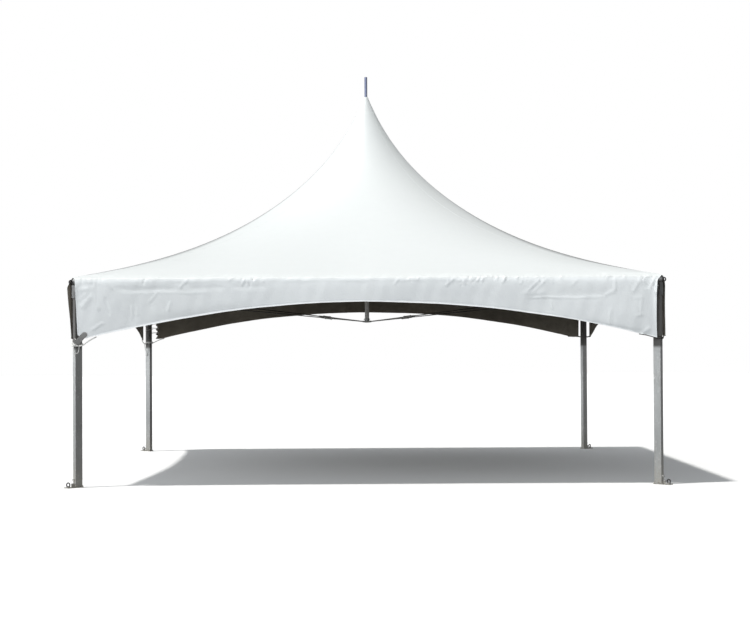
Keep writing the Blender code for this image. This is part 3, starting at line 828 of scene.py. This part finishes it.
def make_roof():
    """Four gores welded at the hips into one sheet, and the area of their cloth."""
    gores = [gore(side) for side in SIDES]
    patches = []
    for quarter, points in enumerate(gores):
        patches += moved(two_sided(points, CLOTH_THICK, len(points), True), about_mast, quarter)
    cloths, hides = (ROOF_CLOTH, CLOTH_INSIDE), [f"roof_{side}" for side in SIDES]
    made = piece("roof_sheet", patches, cloths, "roof_cloth", hides, sharp=60.0, merge=1e-4)
    return made, sum(grid_area(points) for points in gores)


def make_hip_seams():
    """Strips that follow each hip at a constant width on both of its gores."""
    half = np.linspace(0.06, LAP_HALF - 0.004, 70)[:, None]
    patches = []
    for end, across in ((-1, np.linspace(0.0, 1.0, 4)), (1, np.linspace(1.0, 0.0, 4))):
        points = section_points(half, roof_height(half), end * (1 - across * SEAM_WIDTH / half))[0]
        strip = two_sided(points + SEAM_RISE * grid_normals(points), SEAM_THICK)
        for quarter in range(4):
            patches += moved(strip, about_mast, quarter)
    return piece("hip_seams", patches, (ROOF_CLOTH, ROOF_CLOTH), "roof_cloth", sharp=60.0)


roof_sheet, roof_area = make_roof()
hip_seams = make_hip_seams()
print(f"roof: {roof_area:.2f} square metres")

# %% [markdown]
# ## The valances
#
# A valance is welded to the roof just above the eave, goes over the rail along an arc and hangs from
# there. Its hem is a parabola with a cord inside, so the edge is a small roll. Its two ends are free:
# they slant, curl outwards and are tied to the legs. One function makes all four.

# %% Valance sizes
ARCH_CROWN = 1.928  # height of the hem at the middle
ARCH_FALL = 0.0427
LAP_RISE = 0.0026  # of the valance's cloth over the roof's, at the seam and over the rail
LEAN_SLOPE = 0.55  # sideways to downwards, where the cloth leaves the rail
LEAN_DEEP = (0.018, 0.034)  # over which it turns to hang straight, at a valance's ends and at its middle
ARC_END = math.pi / 2 - math.atan(LEAN_SLOPE)
TOP_HALF = RAIL_HALF + EAVE_REACH * math.sin(ARC_END)  # place of the cloth where the arc ends
VALANCE_TOP = RAIL_HEIGHT + EAVE_REACH * math.cos(ARC_END)
HEM_DEEP = 0.012  # of the roll at the hem
HEM_OUT = 0.0036
STITCH_UP = 0.020  # of the hem's seam above the edge
END_DEEP = 0.55  # depth of a valance at its ends
CORNER_RUN = 0.11  # length of hem that a lifted corner takes up
CURL_RUN = 0.045
CORNER_TURN = 0.012  # depth over which an end leaves the roof's cut corner for its own line
FREE_DEEP = 0.08  # depth from which an end curls in full
VALANCE_ENDS = {  # left and right, in millimetres: place at the top, at the hem, bow, lift, curl at both
    "back": ((-2992, -2985, 0, 35, 4, 4), (2966, 2960, 0, 20, 6, 4)),
    "left": ((-3035, -3030, 0, 12, 10, 4), (3040, 3030, 0, 30, 44, 12)),
    "front": ((-3066, -3036, 0, 60, 6, 2), (3036, 3028, -10, 4, 30, 4)),
    "right": ((-3040, -3030, 0, 22, 12, 14), (3030, 3020, 0, 30, 10, 12)),
}
VALANCE_ENDS = {side: MM * np.array(ends) for side, ends in VALANCE_ENDS.items()}
LACED = "back"  # the side whose right end is laced to its leg
LACE_PITCH = 0.062
TOOTH_DEEP = 0.030
TOOTH_REACH = 0.10  # in from the laced end


# %% Valance surface
def hem_height(x):
    """Height of the arched hem above the ground."""
    return ARCH_CROWN - ARCH_FALL * x * x


def over_rail(columns, slope_rows=10, turn_rows=9):
    """From the seam to the end of the arc over the rail: points, place along the eave, and distance along
    the cloth from the arc's end, upwards negative."""
    half = np.linspace(LAP_HALF, EDGE_HALF, slope_rows)
    angle = np.linspace(EAVE_ANGLE, ARC_END, turn_rows + 1)[1:]
    height = np.append(roof_height(half), RAIL_HEIGHT + EAVE_REACH * np.cos(angle))
    half = np.append(half, RAIL_HALF + EAVE_REACH * np.sin(angle))
    along = distance_along(joined(half, height))
    points, x = section_points(half[:, None], height[:, None], np.linspace(-1, 1, columns)[None, :])
    return points, x, (along - along[-1])[:, None]


def end_place(end, t):
    """An end's place along the eave: from the cut corner straight to the hem, but for a bow."""
    top, low, bow = end[:3]
    corner = math.copysign(2 * CORNER_CUT - TOP_HALF, top)
    turned = (corner - top) * np.exp(-t * END_DEEP / CORNER_TURN)
    return top + (low - top) * t + 4 * bow * t * (1 - t) + turned


def near(distance, run):
    """A share that falls from 1 at an edge to 0 at a distance from it, by a square."""
    return clamp(1 - distance / run) ** 2


def hanging(side, columns, rows=43):
    """The cloth below the arc: its points, their place along the eave, and their depth."""
    t = np.linspace(0, 1, rows)[1:, None]
    t = 0.55 * t + 0.45 * (1 - (1 - t) ** 2)  # closer rows near the hem
    left, right = (end_place(end, t) for end in VALANCE_ENDS[side])
    x = left + (right - left) * np.linspace(0, 1, columns)[None, :]
    both = list(zip(VALANCE_ENDS[side], (x - left, right - x)))
    low = hem_height(x) + sum(end[3] * near(inwards, CORNER_RUN) for end, inwards in both)
    z = VALANCE_TOP + (low - VALANCE_TOP) * t
    depth = VALANCE_TOP - z
    deep = LEAN_DEEP[1] + (LEAN_DEEP[0] - LEAN_DEEP[1]) * np.clip(x / LEG_HALF, -1, 1) ** 2
    out = LEAN_SLOPE * deep * (1 - np.exp(-depth / deep))
    free = clamp(depth / FREE_DEEP)
    for end, inwards in both:
        out += free * (end[4] + (end[5] - end[4]) * depth / END_DEEP) * near(inwards, CURL_RUN)
    above = z - low
    roll = HEM_OUT * near(above, HEM_DEEP) - 0.0010 * np.exp(-(((above - STITCH_UP) / 0.005) ** 2))
    out += roll * clamp(depth / 0.05)
    if side == LACED:
        tooth = (depth / LACE_PITCH) % 1
        notch = clamp(tooth / 0.7) * clamp((1 - tooth) / 0.3)
        x = x - clamp(1 - (right - x) / TOOTH_REACH) * TOOTH_DEEP * (1 - notch) * free
    return joined(-x, TOP_HALF + out, z), x, depth


def valance_points(side, columns=601):
    """A valance from its seam to its hem, with its relief, which fades near the hips, and the number of
    rows that end on a hip."""
    upper, upper_x, upper_depth = over_rail(columns)
    lower, lower_x, lower_depth = hanging(side, columns)
    points = np.concatenate([upper, lower])
    x = np.concatenate([upper_x, lower_x])
    depth = np.concatenate([np.broadcast_to(upper_depth, upper_x.shape), lower_depth])
    hip_rows = int(np.sum(upper[:, 0, 1] <= CORNER_CUT))
    inwards = np.minimum(x - x[:, :1], x[:, -1:] - x)
    fade = np.maximum(clamp(inwards / 0.06), clamp(depth / 0.03))
    rise = relief(side, x, depth) * fade + LAP_RISE
    return points + grid_normals(points, hip_rows) * rise[..., None], hip_rows


def make_valance(quarter, side):
    """One valance in its place on the roof's edge and under the eave."""
    points, hip_rows = valance_points(side)
    patches = moved(two_sided(points, CLOTH_THICK, hip_rows), about_mast, quarter)
    cloths = (LIGHTENED_VALANCE_CLOTH, CLOTH_INSIDE)
    made = piece(f"valance_sheet_{side}", patches, cloths, "valance_cloth", [f"valance_{side}"], sharp=60.0)
    return made


valances = [make_valance(quarter, side) for quarter, side in enumerate(SIDES)]

# %% [markdown]
# ## Ropes at the corners
#
# The cord in each hem goes down to the leg, round its outer face and on into the next valance's hem. It
# is laid out in a corner's own frame: X outwards along the diagonal, and Y to the left of it.

# %% Hem cords
CORD_DIAMETER = 0.010
ROUND_X = LEG_LONG / 2 + CORD_DIAMETER / 2  # of a cord that lies against the leg
ROUND_Y = LEG_SHORT / 2 + CORD_DIAMETER / 2
HEM_EXIT = (-0.102, 0.195)  # where the cord leaves a hem, in the corner's own frame
EXIT_HEIGHT = hem_height(2.84) - 0.006


def hem_link(low, share):
    """From one hem round the leg's outer face, at the height low, to the next hem. At share of the way down
    the cord is halfway to the leg."""
    fall = EXIT_HEIGHT - low
    half = [
        (*HEM_EXIT, EXIT_HEIGHT),
        (-0.040, 0.150, EXIT_HEIGHT - share * 0.55 * fall),
        (0.004, 0.098, EXIT_HEIGHT - (share + 0.16) * fall),
        (0.026, ROUND_Y + 0.022, low - 0.002),
        (ROUND_X - 0.006, ROUND_Y + 0.001, low),
        (ROUND_X + 0.0015, ROUND_Y - 0.008, low),
    ]
    return half + [(x, -y, z) for x, y, z in half[::-1]]


def wrap(low, turns, rise):
    """A cord wound round the leg: a rectangle with rounded corners, which climbs a little each turn."""
    inset = 0.004
    half = [(ROUND_X, 0.0), (ROUND_X, ROUND_Y - inset), (ROUND_X - inset, ROUND_Y), (0.0, ROUND_Y),
            (inset - ROUND_X, ROUND_Y), (-ROUND_X, ROUND_Y - inset)]
    ring = half + [(-x, -y) for x, y in half]
    steps = np.arange(turns * len(ring) + 1)
    return [(*ring[k % len(ring)], low + rise * k / len(ring)) for k in steps]


def knot(centre, size):
    """An overhand knot: a circle that goes round twice and loops in and out three times, flattened in X."""
    angle = np.linspace(0, 2 * math.pi, 90)
    spread = size * (2 + np.cos(3 * angle)) / 3
    path = joined(0.4 * size * np.sin(3 * angle), spread * np.cos(2 * angle), spread * np.sin(2 * angle))
    return path + np.asarray(centre)


def rope_piece(name, corner, paths, diameter=CORD_DIAMETER, spacing=0.003, material=ROPE):
    """One rope piece at a corner, from paths of listed points or of computed ones."""
    tubes = []
    for path in paths:
        path = smooth_path(path, spacing) if isinstance(path, list) else path
        tubes += tube(at_corner(path, CORNERS.index(corner)), laid_rope(diameter))
    return piece(f"{name}_{corner}", tubes, (material,))


BACK_RIGHT_TIE = 1.568  # heights of the cords round the legs
BACK_TIE = 1.500
FRONT_TIE = 1.484
FRONT_RIGHT_TIE = 1.530
# The two right-hand ties take the black cord: painted shade.
rope_piece("hem_tie", "back_right", [hem_link(BACK_RIGHT_TIE, 0.30)], 0.016, material=SHADED_BLACK_CORD)
rope_piece("hem_tie", "back_left", [hem_link(BACK_TIE, 0.55), wrap(BACK_TIE + 0.010, 2, 0.011)])
rope_piece("hem_tie", "front_left", [
    hem_link(FRONT_TIE, 0.78),
    wrap(FRONT_TIE + 0.013, 1, 0.014),
    knot((ROUND_X + 0.006, 0.006, FRONT_TIE + 0.006), 0.012),
], 0.013)
rope_piece("hem_tie", "front_right", [
    hem_link(FRONT_RIGHT_TIE, 0.50),
    wrap(FRONT_RIGHT_TIE + 0.011, 1, 0.010),
    knot((ROUND_X + 0.006, -0.002, FRONT_RIGHT_TIE + 0.004), 0.010),
], material=SHADED_BLACK_CORD)

# %% [markdown]
# ## Free ends and a free loop
#
# What was left of a cord after its knot has only its own weight, so it turns down within a few diameters and
# hangs nearly straight. These cords are made at their real length.

# %% Hanging cords
def free_cord(name, corner, tie, points, diameter=0.008, far_end="knot"):
    """A free cord through points in millimetres from the leg's axis and the tie's height. Its far end is a
    stopper knot, or is held by an object."""
    quarter = CORNERS.index(corner)
    points = np.multiply(MM, points) + (0.0, 0.0, tie)
    path = at_corner(smooth_path(points, 0.003), quarter)
    made = piece(f"{name}_{corner}", tube(path, laid_rope(diameter)), (ROPE,))
    if far_end == "knot":
        end = at_corner(knot(points[-1] - (0.0, 0.0, 0.006), 0.007), quarter)
        piece(f"{name}_knot_{corner}", tube(end, laid_rope(0.006), 10), (ROPE,))


FRONT_TAIL = [(56, 6, -4), (60, 10, -16), (59, 13, -40), (56, 14, -70), (52, 15, -96), (50, 15, -104)]
FRONT_LOOP = [
    (53, 22, 76), (46, 35, 64), (30, 43, 44), (18, 47, 14), (14, 46, -20), (16, 39, -56),
    (22.5, 36, -73), (38.5, 32, -80), (54.5, 27, -73), (62, 22, -56), (63, 16, -30), (61, 12, -8),
]
BACK_TAIL = [(12, 36, 10), (16, 50, 4), (18, 59, -18), (16, 53, -60), (12, 41, -110), (9, 34, -150)]
free_cord("rope_end", "front_left", FRONT_TIE, FRONT_TAIL, 0.010)
free_cord("rope_loop", "front_left", FRONT_TIE, FRONT_LOOP, far_end="object")
free_cord("rope_end", "back_left", BACK_TIE, BACK_TAIL)

# %% [markdown]
# ## The strap at the front's left corner
#
# A short tab of grey webbing lies over the valance's lower corner. It is a ribbon: rows of points run
# across a smooth path, and get shorter towards the free end by the formula of a half circle.

# %% Webbing tab
TAB_WIDE = 0.056
TAB_THICK = 0.0025
TAB_PATH = [  # millimetres in the tent's frame, from the leg up over the valance
    (-3050, -3106, 1500), (-3040, -3122, 1514), (-3018, -3136, 1540),
    (-2988, -3142, 1572), (-2956, -3143, 1603), (-2940, -3142, 1618),
]


def make_webbing_tab():
    """A ribbon whose free end is a half circle, in a plane that faces the front."""
    path = smooth_path(np.multiply(MM, TAB_PATH), 0.0015)
    sideways = unit(np.cross(unit(np.gradient(path, axis=0)), [0.0, 1.0, 0.0]))
    length = float(distance_along(path)[-1])
    left = length - distance_along(path)
    half = TAB_WIDE / 2
    width = np.where(left < half, np.sqrt(np.clip(half**2 - (half - left) ** 2, 1e-8, None)), half)
    across = np.linspace(-1, 1, 13)
    points = path[:, None] + (width[:, None] * across)[..., None] * sideways[:, None]
    points[..., 1] -= 0.0012 * (1 - across**2)
    grid = points[:, ::-1]
    made = piece("corner_tab", two_sided(grid, TAB_THICK), (WEBBING, WEBBING))


make_webbing_tab()

# %% [markdown]
# ## Eyelets and lacing
#
# At the back's end that the front view shows, the cloth's edge is laced to the leg through a row of
# eyelets, by one cord that goes round the leg once for each, and is pulled into teeth.

# %% Eyelets
CLOTH_FACE = TOP_HALF + LEAN_SLOPE * LEAN_DEEP[0] + LAP_RISE + 0.0010
EYELET = np.multiply(MM, [(5, 0), (10.5, 0), (10.5, 1.2), (8.5, 2.6), (6.6, 2.6), (5, 1.2), (5, -3)])
EYELET_SHADE_DISC = np.multiply(MM, [(0, -1.5), (4.8, -1.5), (4.8, 0.2), (0, 0.2)])
EYELET_IN = 0.040  # from the cloth's end
FIRST_EYELET = 1.35  # in pitches below the valance's top
LACE_PLACES = [(VALANCE_ENDS[LACED][1][0] - EYELET_IN, VALANCE_TOP - LACE_PITCH * (k + FIRST_EYELET))
               for k in range(8)]


def eyelet_row(places):
    """Eyelets on the back's cloth, at (u, height) places as seen from outside. Each has a black disc in its
    middle, painted shade that stands for the dark seen through the hole.
    """
    out = []
    for u, height in places:
        rings = lathe(EYELET, 20) + lathe(EYELET_SHADE_DISC, 12, slot=1)
        out += aimed(rings, (-u, CLOTH_FACE, height), (0, 1, 0))
        out += aimed(lathe(EYELET, 20), (-u, CLOTH_FACE - 0.0062, height), (0, -1, 0))
    return out


eyelets = moved(eyelet_row(LACE_PLACES), about_mast, SIDES.index(LACED))
piece("eyelets", eyelets, (BRIGHT_ZINC, HOLE_SHADE))


# %% Lacing
def lacing_path():
    """From eyelet to eyelet, round the leg each time. The cloth lies at negative Y of the corner's frame."""
    path = []
    reach_x, reach_y = LEG_LONG / 2 + 0.006, LEG_SHORT / 2 + 0.006
    ring = [(-0.010, -reach_y - 0.030), (-reach_x, 0.004 - reach_y), (-reach_x, reach_y - 0.004),
            (0.0, reach_y), (reach_x, reach_y - 0.004), (reach_x, 0.004 - reach_y), (0.030, -reach_y - 0.020)]
    for u, height in LACE_PLACES:
        away_x, away_y = LEG_HALF - u, CLOTH_FACE + 0.003 - LEG_HALF
        local_x = (away_y - away_x) * math.sqrt(0.5)
        local_y = -(away_x + away_y) * math.sqrt(0.5)
        path.append((local_x - 0.004, local_y - 0.002, height))
        for k, (x, y) in enumerate(ring):
            path.append((x, y, height - LACE_PITCH * (0.10 + 0.12 * k)))
    return path[:-len(ring) + 2]


rope_piece("lacing", "back_left", [lacing_path()], 0.005, 0.004)

# %% [markdown]
# ## Bolts, pins and nuts
#
# Bolts hold the legs in their sleeves, screws hold the rails, and a quick pin with a ring holds each
# leg's foot. All are placed in the frame of one corner or side, and turned to the other three.

# %% Bolts at the corners
SLEEVE_OUT = 0.0063  # from a leg's face to the outside of the sleeve over it
SLEEVE_BOLTS = ((0.020, 2.085), (-0.018, 2.020))
SOCKET_OUT = 0.036  # radius of the sockets and of the splice sleeves
SCREW_HEIGHT = RAIL_HEIGHT - SOCKET_OUT + 0.0006
CROSSING = (RAIL_HALF - LEG_HALF) * math.sqrt(2)  # where a corner's two rails meet
SCREW_REACH = 0.130 * math.sqrt(0.5)
SADDLE_BOLT = (0.098, 0.022, 0.0078)
PIN_FACE = 0.0121  # from a stay's axis to the ends of its fork pins
CORNER_PIN = np.array([-0.076, 0.0, 2.092])
MAST_PIN = np.array([0.026 - LEG_HALF * math.sqrt(2), 0.0, 1.7585])
FOOT_PIN_HEIGHT = 0.086
PIN_HEAD = [(0, -4), (5, -4), (5, 0), (9.5, 0), (10, 3), (8.5, 9), (6, 11), (6, 20), (4.5, 22), (0, 22)]
PIN_TIP = [(0, 0), (5, 0), (5, 12), (3.5, 15), (0, 15)]


def through_bolt(size, half, out):
    """A bolt along Z through what is half thick each way: its head above, nut and thread below."""
    head = aimed(bolt_head(size), (0, 0, half), (0, 0, 1))
    return head + aimed(bolt_end(size, out), (0, 0, -half), (0, 0, -1))


def foot_pin():
    """A quick pin through the leg above its foot, and its ring."""
    x, z = LEG_LONG / 2, FOOT_PIN_HEIGHT
    angle = np.linspace(0, 2 * math.pi, 41)
    ring = joined(x + 0.015 + 0.006 * np.sin(angle), 0.013 * np.cos(angle), z - 0.011 + 0.013 * np.sin(angle))
    pin = aimed(lathe(np.multiply(MM, PIN_HEAD), 20), (x, 0, z), (1, 0, 0))
    pin += aimed(lathe(np.multiply(MM, PIN_TIP), 16), (-x, 0, z), (-1, 0, 0))
    return pin + tube(ring, lambda angle, along: np.full(angle.shape, 0.0014), 8)


def corner_fasteners():
    """Two bolts through the sleeve's wide faces, the foot's pin, and on either side a screw up into a
    socket, a bolt of the ring's saddle, and the heads of the stay's two fork pins."""
    out = foot_pin()
    for x, z in SLEEVE_BOLTS:
        out += aimed(through_bolt(0.010, LEG_SHORT / 2 + SLEEVE_OUT, 0.022), (x, 0, z), (0, 1, 0))
    for sign in (-1, 1):
        out += aimed(bolt_head(0.008), (CROSSING - SCREW_REACH, sign * SCREW_REACH, SCREW_HEIGHT), (0, 0, -1))
        out += aimed(bolt_head(0.0075), (SADDLE_BOLT[0], sign * SADDLE_BOLT[1], SADDLE_BOLT[2]), (0, 0, 1))
        for x, _, z in (CORNER_PIN, MAST_PIN):
            out += aimed(bolt_head(0.0085), (x, sign * PIN_FACE, z), (0, sign, 0))
    return out


for quarter, corner in enumerate(CORNERS):
    piece(f"fasteners_{corner}", moved(corner_fasteners(), at_corner, quarter), (BRIGHT_ZINC,))

# %% Bolts at the eaves and the mast
CUP_HALF = 0.0288  # radius of the cup under the mast
CUP_BOLT_HEIGHT = 1.789
SPLICE_SCREW = 0.075  # from the middle of a rail

middle = []
for quarter in range(4):
    for x in (-SPLICE_SCREW, SPLICE_SCREW):
        screw = aimed(bolt_head(0.008), (x, RAIL_HALF, SCREW_HEIGHT), (0, 0, -1))
        middle += moved(screw, about_mast, quarter)
for axis in ((1, 0, 0), (0, 1, 0)):
    middle += aimed(through_bolt(0.007, CUP_HALF, 0.012), (0, 0, CUP_BOLT_HEIGHT), axis)
piece("fasteners_middle", middle, (BRIGHT_ZINC,))

# %% [markdown]
# ## Wire rope and turnbuckles
#
# A stay's core is a rod of the frame, and six strands are laid round it here. The rope goes into a
# pressed sleeve at the corner and into a threaded stud at the turnbuckle, which has a hexagon at each
# end of its body, and a lock nut.

# %% Stays
STAY_LENGTH = float(np.linalg.norm(MAST_PIN - CORNER_PIN))
STAY_WAY = (MAST_PIN - CORNER_PIN) / STAY_LENGTH
WIRE_ROPE_DIAMETER = 0.0116
BOTTLE_START = 0.600  # distances from the stay's pin at the mast
BOTTLE_END = 0.715
ROD_END = 0.780
NUTS = (  # radius, start and end of the body's two hexagons and of the lock nut
    (0.0136, BOTTLE_START, BOTTLE_START + 0.014),
    (0.0136, BOTTLE_END - 0.014, BOTTLE_END),
    (0.0098, BOTTLE_START - 0.009, BOTTLE_START - 0.002),
)
THREADS = (  # the same of the two studs
    (0.0072, BOTTLE_START - 0.070, BOTTLE_START - 0.009),
    (0.0090, BOTTLE_END + 0.002, ROD_END - 0.002),
)
SLEEVE_RINGS = (0.0090, 0.098, 0.026, 0.012)  # radius, start before the stay's end, pitch, length


def wire_rope():
    """Six strands round a stay's core, with a turn every seven diameters."""
    start = CORNER_PIN + 0.100 * STAY_WAY
    end = MAST_PIN - (ROD_END - 0.004) * STAY_WAY
    share = np.linspace(0, 1, round(np.linalg.norm(end - start) / 0.0058))[:, None]
    return tube(start + share * (end - start), laid_rope(WIRE_ROPE_DIAMETER, 6, 7.0))


def thread(radius, start, end, pitch=0.003):
    """A threaded rod along Z: its radius rises and falls with each pitch."""
    heights = np.arange(start, end, pitch / 2)
    radii = radius - 0.0007 * (np.arange(len(heights)) % 2)
    return lathe([(0, start), *zip(radii, heights), (0, heights[-1])], 16)


def collar(radius, start, end, hexagon=False):
    """A collar or nut along Z, with its edges taken off."""
    edge = 0.0012
    return lathe([(0, start), (radius - edge, start), (radius, start + edge), (radius, end - edge),
                  (radius - edge, end), (0, end)], 24, hexagon)


def turnbuckle_details():
    """Hexagons at the body's ends, a lock nut and threads, and three rings on the pressed sleeve."""
    out = []
    for nut in NUTS:
        out += collar(*nut, True)
    for rod in THREADS:
        out += thread(*rod)
    radius, before, pitch, length = SLEEVE_RINGS
    for k in range(3):
        start = STAY_LENGTH - before + pitch * k
        out += collar(radius, start, start + length)
    return aimed(out, MAST_PIN, -STAY_WAY)


for quarter, corner in enumerate(CORNERS):
    rope = moved(wire_rope(), at_corner, quarter)
    piece(f"wire_rope_{corner}", rope, (STAY_STEEL,), "stay_steel", sharp=60.0)
    details = moved(turnbuckle_details(), at_corner, quarter)
    piece(f"turnbuckle_details_{corner}", details, (BRIGHT_ZINC,), "galvanised_steel")

# %% [markdown]
# ## Stage and light
#
# The floor is plain and pale. One sun, high on the left and a little in front, gives the soft shadow. A
# sky that is bright on the left and in front models the legs and the roof. The camera sees plain white
# behind the tent. The floor throws back less light than it shows, as turf would under the tent.

# %% Floor and light
SUN_FROM = Vector((-0.37, -0.16, 1.0))
SUN_STRENGTH = 2.6
SUN_ANGLE = 3.0
SUN_COLOUR = (1.0, 0.985, 0.96)
FLOOR_HALF = 60.0
FLOOR_SHOWN = (1.0, 1.0, 1.0)
FLOOR_BOUNCED = (0.18, 0.18, 0.175)
SKY_BASE = 0.07
SKY_OVERHEAD = 0.05
SKY_LEFT = 1.8
SKY_FRONT = 2.05
SKY_BACK = 0.13
SKY_RIGHT = 0.15
SKY_NARROW = 4.0  # power by which the left and front shares fall off
SKY_COLOUR = (0.94, 0.975, 1.0)
WHITE = (1.0, 1.0, 1.0)


def make_floor():
    """A large plain floor at the ground's level."""
    made, tree = start_material("floor", 0.0, 0.9)
    seen = add_node(tree, "LightPath").outputs["Is Camera Ray"]
    shown = blend(tree, effect(tree, BLOTCHES, Scale=0.05, Amount=0.06), FLOOR_SHOWN, FLOOR_BOUNCED)
    dress(made, blend(tree, seen, FLOOR_BOUNCED, shown))
    corners = np.array([[(-1, 1, 0), (1, 1, 0)], [(-1, -1, 0), (1, -1, 0)]], float) * FLOOR_HALF
    mesh_object("floor", patch(corners), (made,))


def make_sun():
    """A soft sun."""
    data = bpy.data.lights.new("sun", "SUN")
    data.energy = SUN_STRENGTH
    data.angle = math.radians(SUN_ANGLE)
    data.color = SUN_COLOUR
    add_object("sun", data).matrix_world = SUN_FROM.to_track_quat("Z", "Y").to_matrix().to_4x4()


def make_sky():
    """A world whose light grows overhead and to each side. The camera sees it as white."""
    world = bpy.data.worlds.new("sky")
    world.use_nodes = True
    bpy.context.scene.world = world
    tree = world.node_tree
    way = add_node(tree, "TexCoord").outputs["Generated"]
    x, y, z = add_node(tree, "SeparateXYZ", Vector=way).outputs
    left = maths(tree, "POWER", stretch(tree, x, -0.95, 0.5, 1.0, 0.0), SKY_NARROW)
    front = maths(tree, "POWER", stretch(tree, y, -1.0, 0.0, 1.0, 0.0), SKY_NARROW)
    level = SKY_BASE
    shares = ((z, SKY_OVERHEAD), (left, SKY_LEFT), (front, SKY_FRONT), (y, SKY_BACK), (x, SKY_RIGHT))
    for share, amount in shares:
        level = maths(tree, "ADD", product(tree, maths(tree, "MAXIMUM", share, 0.0), amount), level)
    seen = add_node(tree, "LightPath").outputs["Is Camera Ray"]
    background = tree.nodes["Background"].inputs
    fill(tree, background["Color"], blend(tree, seen, SKY_COLOUR, WHITE))
    hidden = product(tree, level, maths(tree, "SUBTRACT", 1.0, seen))
    fill(tree, background["Strength"], maths(tree, "ADD", hidden, seen))


make_floor()
make_sun()
make_sky()
bpy.context.scene.view_settings.view_transform = "Standard"
